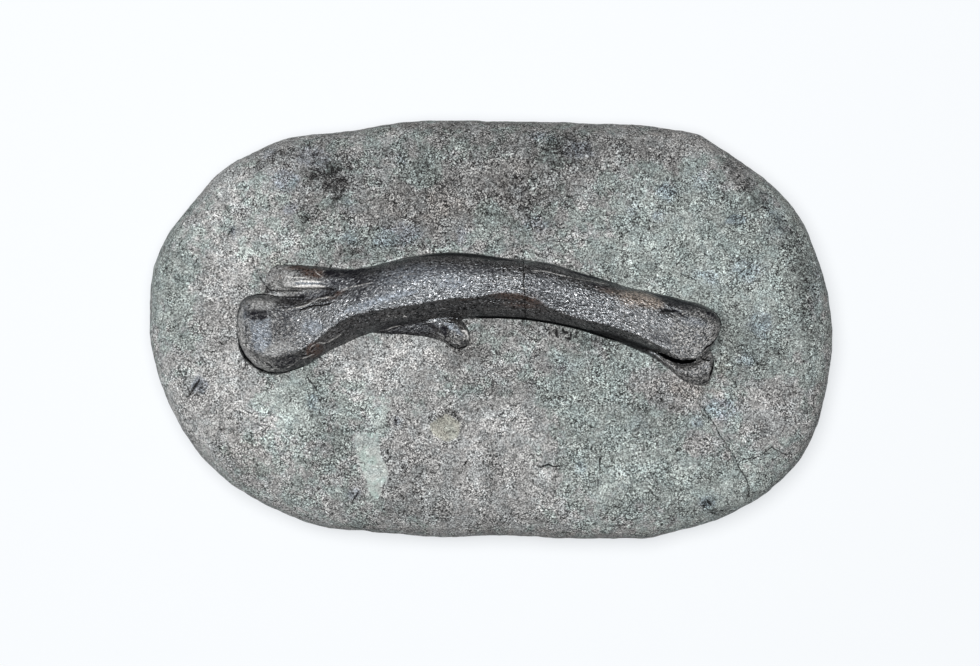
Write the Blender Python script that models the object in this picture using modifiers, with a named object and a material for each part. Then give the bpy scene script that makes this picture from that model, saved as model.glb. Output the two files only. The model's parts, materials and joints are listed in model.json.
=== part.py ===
"""A fossil ornithischian femur half sunk in an oblong slab of sandstone.

Driving dimensions are in millimetres and meshes are made in metres. The origin is on the flat base,
under the middle of the slab. +X runs towards the far (knee) end of the bone, +Y towards its front
edge, and +Z up out of the slab's weathered face.

Two solids are made: the rock with its pocket, and the whole bone that lies in the pocket.
"""

import math

import bmesh
import bpy
import numpy as np
from mathutils import Vector, noise

MM = 0.001

# Slab

SLAB_LENGTH = 280.0
SLAB_WIDTH = 171.0
SLAB_TOP = 34.0           # mean height of the weathered face
SLAB_WIDEST = 12.5        # height at which the outline is widest
SLAB_SIDES = 96
SLAB_RINGS = 66
SLAB_VOXEL = 2.6
SLAB_TRIANGLES = 4000
SAW_DEPTH = 2.0           # the block is modelled this much deeper, then cut flat

# Points round the widest outline, as parts of half the length and half the width, anticlockwise
# from the right-hand end. Flats with soft corners lie between them.
SLAB_OUTLINE = (
    (1.000, 0.000), (0.985, 0.200), (0.953, 0.362), (0.912, 0.515), (0.871, 0.606),
    (0.811, 0.708), (0.737, 0.800), (0.637, 0.908), (0.590, 0.941), (0.432, 0.976),
    (0.220, 0.988), (0.000, 0.994), (-0.186, 0.999), (-0.304, 0.979), (-0.420, 0.948),
    (-0.566, 0.927), (-0.643, 0.884), (-0.781, 0.770), (-0.862, 0.630), (-0.960, 0.422),
    (-0.995, 0.230), (-1.000, 0.000), (-0.989, -0.113), (-0.962, -0.278), (-0.913, -0.457),
    (-0.866, -0.573), (-0.808, -0.674), (-0.699, -0.802), (-0.544, -0.922), (-0.356, -0.970),
    (-0.129, -0.993), (0.042, -0.987), (0.234, -0.999), (0.396, -0.999), (0.474, -0.994),
    (0.664, -0.912), (0.789, -0.807), (0.869, -0.694), (0.922, -0.579), (0.963, -0.422),
    (0.995, -0.171),
)

# Side of the slab, from under its middle to over it: height above the base, how far the surface
# lies inside the widest outline, and the share of the way out from the middle.
SLAB_PROFILE = (
    (-SAW_DEPTH, 7.5, 0.0), (-SAW_DEPTH, 7.5, 0.96), (-SAW_DEPTH, 7.0, 1.0), (1.0, 4.2, 1.0),
    (4.5, 1.6, 1.0), (SLAB_WIDEST, 0.0, 1.0), (21.0, 0.9, 1.0), (27.0, 3.0, 1.0),
    (31.0, 6.6, 1.0), (33.2, 11.5, 1.0), (SLAB_TOP, 19.0, 1.0), (SLAB_TOP, 19.0, 0.0),
)

# Swells and hollows of the weathered face: x, y, half length, half width, turn in degrees, height.
SLAB_SWELLS = (
    (-69.0, 60.0, 13.0, 10.0, 10, -2.8),
    (-57.0, 66.5, 9.0, 7.0, 0, -2.0),
    (-66.0, 51.0, 5.0, 3.5, 0, 1.0),
    (6.0, 60.0, 30.0, 13.0, -8, -1.7),
    (26.0, 76.0, 17.0, 6.0, 0, -1.3),
    (-108.0, 18.0, 20.0, 30.0, 0, 0.9),
    (-67.0, -28.0, 9.0, 6.0, 20, -1.0),
    (-70.0, -47.0, 13.0, 6.0, -10, -1.1),
    (-19.5, -40.5, 6.0, 5.5, 0, 1.1),
    (-19.5, -33.0, 9.0, 4.0, 0, -0.8),
    (10.0, -30.0, 24.0, 16.0, 15, 0.8),
    (70.0, 55.0, 26.0, 12.0, -20, 0.8),
    (104.0, -8.0, 12.0, 26.0, 0, -0.8),
    (60.0, -52.0, 30.0, 10.0, 12, 0.9),
    (-98.0, -46.0, 22.0, 7.0, -38, -0.9),
)

# The scratch near the left-hand end and the split near the lower right-hand edge.
SLAB_SPLITS = (
    ((-121.5, -26.5), (-119.5, -22.5), (-116.5, -19.5)),
    ((83.5, -28.5), (89.5, -39.0), (100.0, -53.0), (103.8, -59.0), (104.5, -65.5)),
)
SPLIT_HALF_WIDTH = 2.2
SPLIT_DEPTH = 1.3

# The shelf that drops towards the lower right-hand edge.
SHELF_EDGE = ((38.0, -81.0), (49.0, -76.5), (60.0, -69.0), (68.0, -64.5), (80.0, -63.0), (92.0, -60.0))
SHELF_DROP = 1.4
SHELF_SLOPE = 2.5         # width of its sloping front
SHELF_FADE = 8.0          # length over which it fades out at both ends

# Natural roughness: the size of its lumps and how far they stand out.
BROAD_SIZE, BROAD_RISE = 34.0, 1.1
LUMP_SIZE, LUMP_RISE = 12.0, 0.7
LUMP_SHIFT = (7.0, 3.0, 1.0)
RELIEF_START = 22.0       # height at which the face's relief begins to show on the sides

# Bone

BONE_LEVEL = 34.0         # height of its middle, where the rock meets it
BONE_RINGS = 150
BONE_SIDES = 36
BONE_VOXEL = 1.0
BONE_TRIANGLES = 3500
POCKET_GAP = 0.4          # room left all round the bone in its pocket

# Stations along the shaft: x, front edge y, back edge y, crest y, crest z, ridge y, ridge z, and
# how deep the bone reaches below its middle. The ridge is the sharp back edge of the side face.
SHAFT = (
    (-102.4, 1.6, 1.5, 1.6, 37.0, 1.5, 37.0, 1.0),
    (-101.9, 7.4, -4.3, 2.0, 39.6, -1.5, 39.3, 5.0),
    (-99.9, 12.0, -10.3, 3.0, 42.1, -6.0, 41.5, 9.0),
    (-96.2, 13.9, -14.3, 3.0, 43.8, -8.5, 42.9, 11.5),
    (-91.4, 14.5, -17.1, 2.0, 44.5, -10.5, 43.2, 12.5),
    (-85.8, 14.1, -17.7, 1.0, 44.3, -11.0, 43.0, 12.5),
    (-79.3, 13.5, -16.3, 1.5, 43.5, -9.5, 42.6, 12.0),
    (-72.9, 14.3, -13.7, 2.5, 43.4, -6.5, 43.2, 11.5),
    (-66.4, 17.5, -9.3, 4.5, 44.0, -1.5, 44.2, 11.0),
    (-60.0, 21.9, -6.1, 8.0, 44.7, 2.6, 45.0, 11.0),
    (-53.6, 24.3, -3.3, 12.0, 45.3, 5.6, 45.6, 11.0),
    (-46.3, 25.9, -0.8, 14.5, 45.9, 7.6, 46.0, 11.0),
    (-36.6, 28.4, 1.0, 16.5, 46.4, 9.2, 46.3, 11.0),
    (-26.6, 30.2, 2.8, 18.0, 46.8, 10.8, 46.5, 11.0),
    (-16.5, 31.0, 4.0, 19.0, 47.0, 12.0, 46.6, 11.0),
    (-6.4, 30.4, 4.4, 19.0, 47.0, 12.4, 46.5, 11.0),
    (3.6, 29.0, 4.4, 18.5, 46.9, 12.4, 46.2, 11.0),
    (14.1, 27.9, 3.8, 17.5, 46.6, 11.2, 45.7, 11.0),
    (24.6, 26.5, 2.2, 15.5, 46.3, 8.4, 45.1, 11.0),
    (35.0, 23.1, 0.0, 12.5, 46.0, 5.0, 44.7, 11.0),
    (45.5, 20.1, -3.1, 9.5, 45.7, 1.8, 44.5, 11.0),
    (56.0, 16.7, -5.2, 6.5, 45.6, -1.2, 44.4, 11.0),
    (66.0, 14.5, -6.4, 4.0, 45.7, -3.4, 44.7, 11.5),
    (76.1, 12.2, -11.0, 1.5, 45.9, -7.8, 44.9, 12.5),
    (84.1, 10.2, -10.4, 0.2, 45.7, -6.8, 44.8, 12.5),
    (89.4, 7.8, -5.5, 1.0, 44.2, -2.4, 43.7, 10.5),
    (92.0, 4.6, -1.0, 2.0, 41.5, 0.8, 41.2, 7.0),
    (92.6, 2.2, 2.0, 2.2, 37.5, 2.0, 37.5, 1.0),
)

# The finger-like process in front of the proximal end.
FINGER = (
    (-92.2, 20.6, 20.4, 20.6, 35.5, 20.5, 35.5, 1.0),
    (-90.6, 23.2, 17.4, 20.8, 37.8, 19.2, 38.0, 5.0),
    (-87.3, 25.4, 15.9, 21.6, 39.4, 18.6, 40.4, 8.0),
    (-82.9, 26.1, 15.7, 21.8, 40.2, 18.2, 41.8, 9.0),
    (-76.8, 25.9, 15.6, 21.8, 40.4, 18.0, 42.4, 9.5),
    (-69.6, 25.3, 15.2, 21.2, 40.8, 17.8, 42.4, 10.0),
    (-62.8, 24.6, 14.0, 20.2, 41.6, 17.2, 42.6, 10.0),
    (-54.0, 24.0, 12.0, 18.6, 42.6, 15.5, 43.6, 10.0),
    (-44.0, 23.0, 12.0, 18.0, 42.0, 15.0, 42.6, 9.0),
    (-38.0, 19.0, 18.6, 19.0, 36.0, 18.8, 36.0, 1.0),
)

# The low blade behind the shaft, which ends in a drooping knob.
BLADE = (
    (-52.0, 1.6, 1.4, 1.5, 34.5, 1.5, 34.5, 1.0),
    (-47.9, 3.6, -1.2, 1.4, 37.6, 0.6, 37.4, 4.0),
    (-42.6, 5.0, -1.6, 1.8, 38.2, 0.8, 37.8, 6.0),
    (-36.6, 6.0, -2.4, 1.8, 38.4, 0.4, 37.9, 7.0),
    (-28.6, 6.4, -2.8, 1.8, 38.4, 0.2, 37.9, 7.5),
    (-23.7, 6.4, -3.5, 1.4, 38.4, -0.6, 37.9, 7.5),
    (-19.7, 6.0, -4.8, 0.8, 38.8, -1.8, 38.3, 7.5),
    (-15.5, 5.2, -7.2, -0.6, 39.4, -3.6, 39.0, 7.5),
    (-12.0, 3.6, -7.9, -1.6, 39.4, -4.4, 39.0, 6.5),
    (-9.4, 0.4, -6.4, -2.8, 38.4, -4.0, 38.2, 4.5),
    (-8.4, -2.8, -3.2, -3.0, 35.5, -3.1, 35.5, 1.0),
)

# The thin web between the finger and the proximal end.
WEB = (
    (-91.4, 15.6, 15.4, 15.5, 34.5, 15.5, 34.5, 1.0),
    (-89.0, 18.0, 11.0, 15.6, 37.6, 14.0, 37.4, 5.0),
    (-80.0, 18.0, 10.0, 15.0, 39.4, 13.0, 39.0, 8.0),
    (-68.0, 18.0, 9.0, 14.2, 40.8, 12.2, 40.4, 9.0),
    (-56.0, 18.0, 9.0, 14.2, 42.0, 12.2, 42.0, 9.0),
    (-50.0, 14.2, 13.8, 14.0, 36.0, 14.0, 36.0, 1.0),
)

# The inner condyle, which shows below the outer one and lies lower, past a deep slot.
INNER_CONDYLE = (
    (52.0, -5.6, -6.6, -6.2, 33.5, -6.3, 33.5, 2.0),
    (58.3, -6.2, -8.6, -7.4, 35.4, -7.7, 35.2, 6.0),
    (64.0, -8.0, -11.2, -9.8, 36.6, -10.2, 36.4, 10.0),
    (68.0, -9.8, -13.8, -12.0, 37.4, -12.5, 37.0, 11.5),
    (72.8, -12.3, -17.3, -14.9, 38.2, -15.7, 37.8, 12.5),
    (76.8, -13.6, -20.2, -17.0, 38.8, -18.0, 38.4, 13.5),
    (81.7, -13.2, -22.0, -17.6, 39.2, -19.2, 38.8, 13.5),
    (85.7, -10.6, -22.5, -16.6, 39.2, -18.8, 38.8, 12.0),
    (88.4, -8.4, -20.6, -14.4, 38.4, -16.8, 38.0, 9.0),
    (89.8, -12.6, -14.4, -13.5, 35.6, -13.7, 35.6, 1.0),
)

# What joins the condyles, under the slot between them: centre, and half sizes.
CONDYLE_BRIDGE_CENTRE = (74.0, -9.0, 27.0)
CONDYLE_BRIDGE_HALF = (17.0, 9.5, 7.2)

# The ball of the hip joint points down into the rock: centre, and half sizes.
HIP_BALL_CENTRE = (-89.0, -1.5, 25.5)
HIP_BALL_HALF = (11.5, 13.0, 9.5)

# The break across the shaft, a hairline in one bone: its place, width and depth.
BREAK_X = 13.2
BREAK_WIDTH = 0.7
BREAK_DEPTH = 0.7
BREAK_JOG = 0.8
BREAK_REACH = 2.0         # how far its cutter stands out of the bone
BREAK_STEPS = 18
BREAK_END_POINT = 8.0     # it runs from the section's front edge to this control point, the back edge

# How the control points of a section lie between its edges, crest and ridge, as parts of the way.
FRONT_FLANK = (0.13, 0.55)      # towards the crest, and of its rise
FRONT_SHOULDER = (0.42, 0.88)
BACK_FLANK = (0.62, 0.55)       # towards the back edge, and of the ridge's rise
FACE_SIDE_OF_RIDGE = (0.28, 0.36)
BACK_SIDE_OF_RIDGE = (0.24, 0.34)
UNDER_TURN = (0.10, 0.62)       # of the width, and of the depth


def between(before, start, end, after, t):
    """Read a smooth curve from start to end, with its neighbours before and after, at t of the way."""
    return 0.5 * (
        2.0 * start
        + (end - before) * t
        + (2.0 * before - 5.0 * start + 4.0 * end - after) * t ** 2
        + (3.0 * start - before - 3.0 * end + after) * t ** 3
    )


def smooth_rows(rows, places):
    """Read a smooth curve through rows of numbers at fractional row places."""
    rows = np.asarray(rows, dtype=float)
    last = len(rows) - 1
    base = np.clip(np.floor(places).astype(int), 0, last - 1)
    near = [rows[np.clip(base + step, 0, last)] for step in (-1, 0, 1, 2)]
    return between(*near, (places - base)[:, None])


def smooth_rings(rings, places):
    """Read one place on each closed smooth curve; rings holds the curves' points, one curve a row."""
    count = rings.shape[1]
    base = np.floor(places).astype(int)
    which = np.arange(len(rings))
    near = [rings[which, (base + step) % count] for step in (-1, 0, 1, 2)]
    return between(*near, (places - base)[:, None])


def section_rings(stations):
    """Give the twelve control points (y, z) round each section of the bone, from its front edge up."""
    _, front, back, crest_y, crest_z, ridge_y, ridge_z, depth = np.asarray(stations).T
    width = front - back
    middle = 0.5 * (front + back)
    rise = crest_z - BONE_LEVEL
    ridge_rise = ridge_z - BONE_LEVEL
    flank_y = ridge_y + BACK_FLANK[0] * (back - ridge_y)
    flank_z = BONE_LEVEL + BACK_FLANK[1] * ridge_rise
    level = np.full_like(front, BONE_LEVEL)
    under = level - UNDER_TURN[1] * depth
    points = (
        (front, level),
        (front + FRONT_FLANK[0] * (crest_y - front), level + FRONT_FLANK[1] * rise),
        (front + FRONT_SHOULDER[0] * (crest_y - front), level + FRONT_SHOULDER[1] * rise),
        (crest_y, crest_z),
        (ridge_y + FACE_SIDE_OF_RIDGE[0] * (crest_y - ridge_y),
         ridge_z + FACE_SIDE_OF_RIDGE[1] * (crest_z - ridge_z)),
        (ridge_y, ridge_z),
        (ridge_y + BACK_SIDE_OF_RIDGE[0] * (flank_y - ridge_y),
         ridge_z + BACK_SIDE_OF_RIDGE[1] * (flank_z - ridge_z)),
        (flank_y, flank_z),
        (back, level),
        (back + UNDER_TURN[0] * width, under),
        (middle, level - depth),
        (front - UNDER_TURN[0] * width, under),
    )
    return np.stack([np.stack(point, axis=1) for point in points], axis=1)


def add_shaped_sphere(bm, rings, sides, shape):
    """Add a closed form to bm: a sphere that shape turns into points in millimetres.

    shape gets, for each vertex, how far it lies from the first pole to the last and how far round
    the axis, both from 0 to 1.
    """
    verts = bmesh.ops.create_uvsphere(bm, u_segments=sides, v_segments=rings, radius=1.0)["verts"]
    unit = np.array([vert.co for vert in verts])
    along = np.arccos(np.clip(unit[:, 2], -1.0, 1.0)) / math.pi
    around = (np.arctan2(unit[:, 1], unit[:, 0]) / (2.0 * math.pi)) % 1.0
    for vert, point in zip(verts, shape(along, around)):
        vert.co = Vector(point) * MM
    faces = list({face for vert in verts for face in vert.link_faces})
    bmesh.ops.recalc_face_normals(bm, faces=faces)


def add_loft(bm, stations, rings=BONE_RINGS):
    """Add a closed length of bone through the stations to bm."""
    def shape(along, around):
        rows = smooth_rows(stations, along * (len(stations) - 1))
        sections = section_rings(rows)
        return np.column_stack((rows[:, 0], smooth_rings(sections, around * sections.shape[1])))

    add_shaped_sphere(bm, rings, BONE_SIDES, shape)


def add_ellipsoid(bm, centre, half):
    """Add a closed ball of the given half sizes to bm."""
    def shape(along, around):
        polar, turn = along * math.pi, around * 2.0 * math.pi
        unit = np.column_stack((np.sin(polar) * np.cos(turn), np.sin(polar) * np.sin(turn), np.cos(polar)))
        return np.array(centre) + unit * half

    add_shaped_sphere(bm, 20, 32, shape)


def new_object(name, bm, collection):
    """Turn bm into an object of that name in the collection."""
    mesh = bpy.data.meshes.new(name)
    bm.to_mesh(mesh)
    bm.free()
    mesh.shade_smooth()
    piece = bpy.data.objects.new(name, mesh)
    collection.objects.link(piece)
    return piece


def evaluated_mesh(piece, name):
    """Give the mesh of a piece with its modifiers applied."""
    graph = bpy.context.evaluated_depsgraph_get()
    mesh = bpy.data.meshes.new_from_object(piece.evaluated_get(graph))
    mesh.name = name
    return mesh


def drop_crumbs(bm):
    """Delete every loose bit of bm but the largest, such as rock cut free between two lobes of bone."""
    waiting = set(bm.verts)
    bodies = []
    while waiting:
        body = {waiting.pop()}
        edge = list(body)
        while edge:
            vert = edge.pop()
            for link in vert.link_edges:
                other = link.other_vert(vert)
                if other not in body:
                    body.add(other)
                    edge.append(other)
        waiting -= body
        bodies.append(body)
    bodies.sort(key=len)
    for body in bodies[:-1]:
        bmesh.ops.delete(bm, geom=list(body), context='VERTS')


def hide_cutter(cutter):
    """Keep a cutter out of the picture."""
    cutter.hide_render = True
    cutter.display_type = 'WIRE'


def add_boolean(piece, cutter):
    """Cut the cutter out of the piece."""
    cut = piece.modifiers.new("cut_" + cutter.name, 'BOOLEAN')
    cut.operation = 'DIFFERENCE'
    cut.solver = 'EXACT'
    cut.object = cutter


def make_break_cutter(cutters):
    """Make the thin crescent that opens the break across the upper side of the shaft."""
    stations_x = [station[0] for station in SHAFT]
    row = np.interp(BREAK_X, stations_x, range(len(SHAFT)))
    section = section_rings(smooth_rows(SHAFT, np.array([row])))
    turns = np.linspace(0.0, BREAK_END_POINT, BREAK_STEPS + 1)
    edge = smooth_rings(np.repeat(section, len(turns), axis=0), turns)
    outward = edge - np.array((0.5 * (edge[0, 0] + edge[-1, 0]), BONE_LEVEL))
    outward /= np.linalg.norm(outward, axis=1)[:, None]
    shift = 0.5 * BREAK_JOG * np.tanh(np.linspace(-3.0, 3.0, len(turns)))
    bm = bmesh.new()
    outer = [bm.verts.new(Vector((BREAK_X + x, y, z)) * MM)
             for x, (y, z) in zip(shift, edge + outward * BREAK_REACH)]
    inner = [bm.verts.new(Vector((BREAK_X + x, y, z)) * MM)
             for x, (y, z) in zip(shift, edge - outward * BREAK_DEPTH)]
    faces = [bm.faces.new((outer[i], outer[i + 1], inner[i + 1], inner[i])) for i in range(BREAK_STEPS)]
    made = bmesh.ops.extrude_face_region(bm, geom=faces)["geom"]
    moved = [item for item in made if isinstance(item, bmesh.types.BMVert)]
    bmesh.ops.translate(bm, verts=moved, vec=Vector((BREAK_WIDTH * MM, 0.0, 0.0)))
    bmesh.ops.recalc_face_normals(bm, faces=bm.faces)
    cutter = new_object("break_cutter", bm, cutters)
    hide_cutter(cutter)
    return cutter


def make_femur(parts, cutters):
    """Make the whole bone: its lofts are fused, thinned to flat facets and cracked across."""
    bm = bmesh.new()
    add_loft(bm, SHAFT)
    add_loft(bm, FINGER, rings=60)
    add_loft(bm, WEB, rings=60)
    add_loft(bm, BLADE, rings=60)
    add_loft(bm, INNER_CONDYLE, rings=60)
    add_ellipsoid(bm, CONDYLE_BRIDGE_CENTRE, CONDYLE_BRIDGE_HALF)
    add_ellipsoid(bm, HIP_BALL_CENTRE, HIP_BALL_HALF)
    femur = new_object("femur", bm, parts)
    fuse = femur.modifiers.new("fuse", 'REMESH')
    fuse.mode = 'VOXEL'
    fuse.voxel_size = BONE_VOXEL * MM
    soften = femur.modifiers.new("soften", 'SMOOTH')
    soften.factor = 0.5
    soften.iterations = 2
    fused = evaluated_mesh(femur, "femur_fused")
    thin = femur.modifiers.new("thin", 'DECIMATE')
    thin.ratio = BONE_TRIANGLES / (2.0 * len(fused.polygons))
    bpy.data.meshes.remove(fused)
    add_boolean(femur, make_break_cutter(cutters))
    return femur


def make_pocket_cutter(femur, cutters):
    """Make a copy of the bone, a little fatter, that cuts its pocket in the rock."""
    cutter = bpy.data.objects.new("pocket_cutter", evaluated_mesh(femur, "pocket_cutter"))
    cutters.objects.link(cutter)
    swell = cutter.modifiers.new("gap", 'DISPLACE')
    swell.strength = POCKET_GAP * MM
    swell.mid_level = 0.0
    hide_cutter(cutter)
    return cutter


def distance_to_line(xy, line):
    """Give the distance of each point to a line of several straight runs."""
    nearest = np.full(len(xy), np.inf)
    for start, end in zip(line[:-1], line[1:]):
        start = np.array(start)
        run = np.array(end) - start
        t = np.clip(((xy - start) @ run) / (run @ run), 0.0, 1.0)
        gap = np.linalg.norm(xy - (start + t[:, None] * run), axis=1)
        nearest = np.minimum(nearest, gap)
    return nearest


def relief(xy):
    """Give the height of the weathered face over its mean level at points in the plan."""
    height = np.zeros(len(xy))
    for x, y, half_x, half_y, turn, rise in SLAB_SWELLS:
        cos, sin = math.cos(math.radians(turn)), math.sin(math.radians(turn))
        along = ((xy[:, 0] - x) * cos + (xy[:, 1] - y) * sin) / half_x
        across = ((xy[:, 1] - y) * cos - (xy[:, 0] - x) * sin) / half_y
        height += rise * np.exp(-(along ** 2 + across ** 2))
    for split in SLAB_SPLITS:
        height -= SPLIT_DEPTH * np.clip(1.0 - distance_to_line(xy, split) / SPLIT_HALF_WIDTH, 0.0, 1.0)
    edge_x, edge_y = np.array(SHELF_EDGE).T
    below = np.clip((np.interp(xy[:, 0], edge_x, edge_y) - xy[:, 1]) / SHELF_SLOPE, 0.0, 1.0)
    past_start = np.clip((xy[:, 0] - edge_x[0]) / SHELF_FADE, 0.0, 1.0)
    before_end = np.clip((edge_x[-1] - xy[:, 0]) / SHELF_FADE, 0.0, 1.0)
    return height - SHELF_DROP * below * past_start * before_end


def rough(point):
    """Give the broad natural roughness of the rock at a point, in millimetres."""
    broad = noise.noise(Vector(point) / BROAD_SIZE)
    lumps = noise.noise(Vector(point) / LUMP_SIZE + Vector(LUMP_SHIFT))
    return BROAD_RISE * broad + LUMP_RISE * lumps


def make_slab_blank():
    """Make the closed blank of the slab from its outline and the profile of its side."""
    outline = np.array(SLAB_OUTLINE) * (0.5 * SLAB_LENGTH, 0.5 * SLAB_WIDTH)

    def on_outline(around):
        rings = np.broadcast_to(outline, (len(around), *outline.shape))
        return smooth_rings(rings, (around % 1.0) * len(outline))

    def shape(along, around):
        height, inset, share = smooth_rows(SLAB_PROFILE, along * (len(SLAB_PROFILE) - 1)).T
        step = 0.5 / SLAB_SIDES
        tangent = on_outline(around + step) - on_outline(around - step)
        inward = np.column_stack((-tangent[:, 1], tangent[:, 0]))
        inward /= np.linalg.norm(inward, axis=1)[:, None]
        plan = (on_outline(around) + inward * inset[:, None]) * share[:, None]
        return np.column_stack((plan, height))

    bm = bmesh.new()
    add_shaped_sphere(bm, SLAB_RINGS, SLAB_SIDES, shape)
    return bm


def make_slab(parts, pocket):
    """Make the block of rock: weathered face, rounded sides, sawn base, and the bone's pocket."""
    blank = new_object("slab_blank", make_slab_blank(), parts)
    even = blank.modifiers.new("even", 'REMESH')
    even.mode = 'VOXEL'
    even.voxel_size = SLAB_VOXEL * MM
    mesh = evaluated_mesh(blank, "matrix_slab")
    bpy.data.objects.remove(blank)

    count = len(mesh.vertices)
    places = np.empty(count * 3)
    normals = np.empty(count * 3)
    mesh.vertices.foreach_get("co", places)
    mesh.vertices.foreach_get("normal", normals)
    places = places.reshape(-1, 3) / MM
    normals = normals.reshape(-1, 3)
    upward = np.clip((places[:, 2] - RELIEF_START) / (SLAB_TOP - RELIEF_START), 0.0, 1.0)
    places[:, 2] += relief(places[:, :2]) * upward ** 2
    places += normals * np.array([rough(point) for point in places])[:, None]
    places[:, :2] -= 0.5 * (places[:, :2].min(axis=0) + places[:, :2].max(axis=0))
    mesh.vertices.foreach_set("co", (places * MM).ravel())
    mesh.update()

    slab = bpy.data.objects.new("matrix_slab", mesh)
    parts.objects.link(slab)
    thin = slab.modifiers.new("thin", 'DECIMATE')
    thin.ratio = SLAB_TRIANGLES / (2.0 * len(mesh.polygons))
    bm = bmesh.new()
    bm.from_mesh(evaluated_mesh(slab, "slab_thin"))
    slab.modifiers.remove(thin)
    cut = bmesh.ops.bisect_plane(
        bm, geom=bm.verts[:] + bm.edges[:] + bm.faces[:], dist=1e-6,
        plane_co=(0.0, 0.0, 0.0), plane_no=(0.0, 0.0, -1.0), clear_outer=True)
    rim = [item for item in cut["geom_cut"] if isinstance(item, bmesh.types.BMEdge)]
    bmesh.ops.contextual_create(bm, geom=rim)
    bmesh.ops.recalc_face_normals(bm, faces=bm.faces)
    bm.to_mesh(mesh)
    add_boolean(slab, pocket)
    bm.clear()
    bm.from_mesh(evaluated_mesh(slab, "slab_cut"))
    slab.modifiers.clear()
    drop_crumbs(bm)
    bm.to_mesh(mesh)
    bm.free()
    return slab


def make_material(name, colour, roughness, ior=1.5):
    """Make a plain material."""
    material = bpy.data.materials.new(name)
    material.use_nodes = True
    shader = material.node_tree.nodes["Principled BSDF"]
    shader.inputs["Base Color"].default_value = (*colour, 1.0)
    shader.inputs["Roughness"].default_value = roughness
    shader.inputs["Metallic"].default_value = 0.0
    shader.inputs["IOR"].default_value = ior
    material.diffuse_color = (*colour, 1.0)
    return material


def main():
    """Clear the scene and build the slab and the bone."""
    for old in list(bpy.data.objects):
        bpy.data.objects.remove(old, do_unlink=True)
    parts = bpy.data.collections.new("fossil_femur_in_matrix")
    cutters = bpy.data.collections.new("cutters")
    bpy.context.scene.collection.children.link(parts)
    bpy.context.scene.collection.children.link(cutters)
    femur = make_femur(parts, cutters)
    slab = make_slab(parts, make_pocket_cutter(femur, cutters))
    femur.data.materials.append(make_material("fossil_bone", (0.060, 0.058, 0.062), 0.38, ior=1.6))
    slab.data.materials.append(make_material("sandstone", (0.30, 0.31, 0.30), 0.9))


main()
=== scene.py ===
"""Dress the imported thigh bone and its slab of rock: fine meshes, finishes, floor, light and camera.

Sizes are in millimetres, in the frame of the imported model: +X runs towards the far (knee) end of
the bone, +Y towards its front edge, and +Z up out of the weathered face. They become metres where
a mesh, a lamp or the camera is made. The stations and the slab's sizes follow the part's source.
"""

import json
import logging
import math
from dataclasses import dataclass
from enum import Enum

import bpy
import numpy as np
from bpy.types import Material, Mesh, Node, NodeSocket, NodeTree, Object
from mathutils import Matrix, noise

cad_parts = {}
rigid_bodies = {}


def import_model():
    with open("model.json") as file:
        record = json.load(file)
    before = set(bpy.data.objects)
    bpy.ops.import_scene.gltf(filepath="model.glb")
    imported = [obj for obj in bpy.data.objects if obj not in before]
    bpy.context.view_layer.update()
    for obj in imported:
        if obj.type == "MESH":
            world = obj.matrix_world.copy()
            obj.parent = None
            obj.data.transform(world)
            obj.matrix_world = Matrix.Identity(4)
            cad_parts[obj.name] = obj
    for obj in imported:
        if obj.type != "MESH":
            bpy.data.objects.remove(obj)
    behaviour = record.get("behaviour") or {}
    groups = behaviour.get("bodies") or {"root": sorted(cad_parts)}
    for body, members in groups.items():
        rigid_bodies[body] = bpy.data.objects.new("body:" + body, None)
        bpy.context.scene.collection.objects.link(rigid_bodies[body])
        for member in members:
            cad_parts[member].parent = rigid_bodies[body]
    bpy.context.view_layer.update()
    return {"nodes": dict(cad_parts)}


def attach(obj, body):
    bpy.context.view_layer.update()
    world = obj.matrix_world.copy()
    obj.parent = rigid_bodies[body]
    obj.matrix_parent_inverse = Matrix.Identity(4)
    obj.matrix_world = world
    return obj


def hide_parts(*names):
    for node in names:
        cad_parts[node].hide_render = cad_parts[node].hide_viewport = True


LOG = logging.getLogger("femur_in_rock")
MM = 0.001
FULL_TURN = 2.0 * math.pi
WHITE = (1.0, 1.0, 1.0)
FLOW = "bone_flow"
PERCENT = 0.01

# A stroke thins towards its ends over a share of its length, or over some half widths if that is
# less, down to a share of its width.
TAPER_SHARE = 0.25
TAPER_WIDTHS = 6.0
TAPER_END = 0.15

# Where the noise is read that moves points sideways and lengthwise.
WANDER_SHIFTS = (11.3, 47.9)

Array = np.ndarray
Point = tuple[float, float]
Place = tuple[float, float, float]
Colour = tuple[float, float, float]
Rows = tuple[tuple[float, ...], ...]

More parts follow.
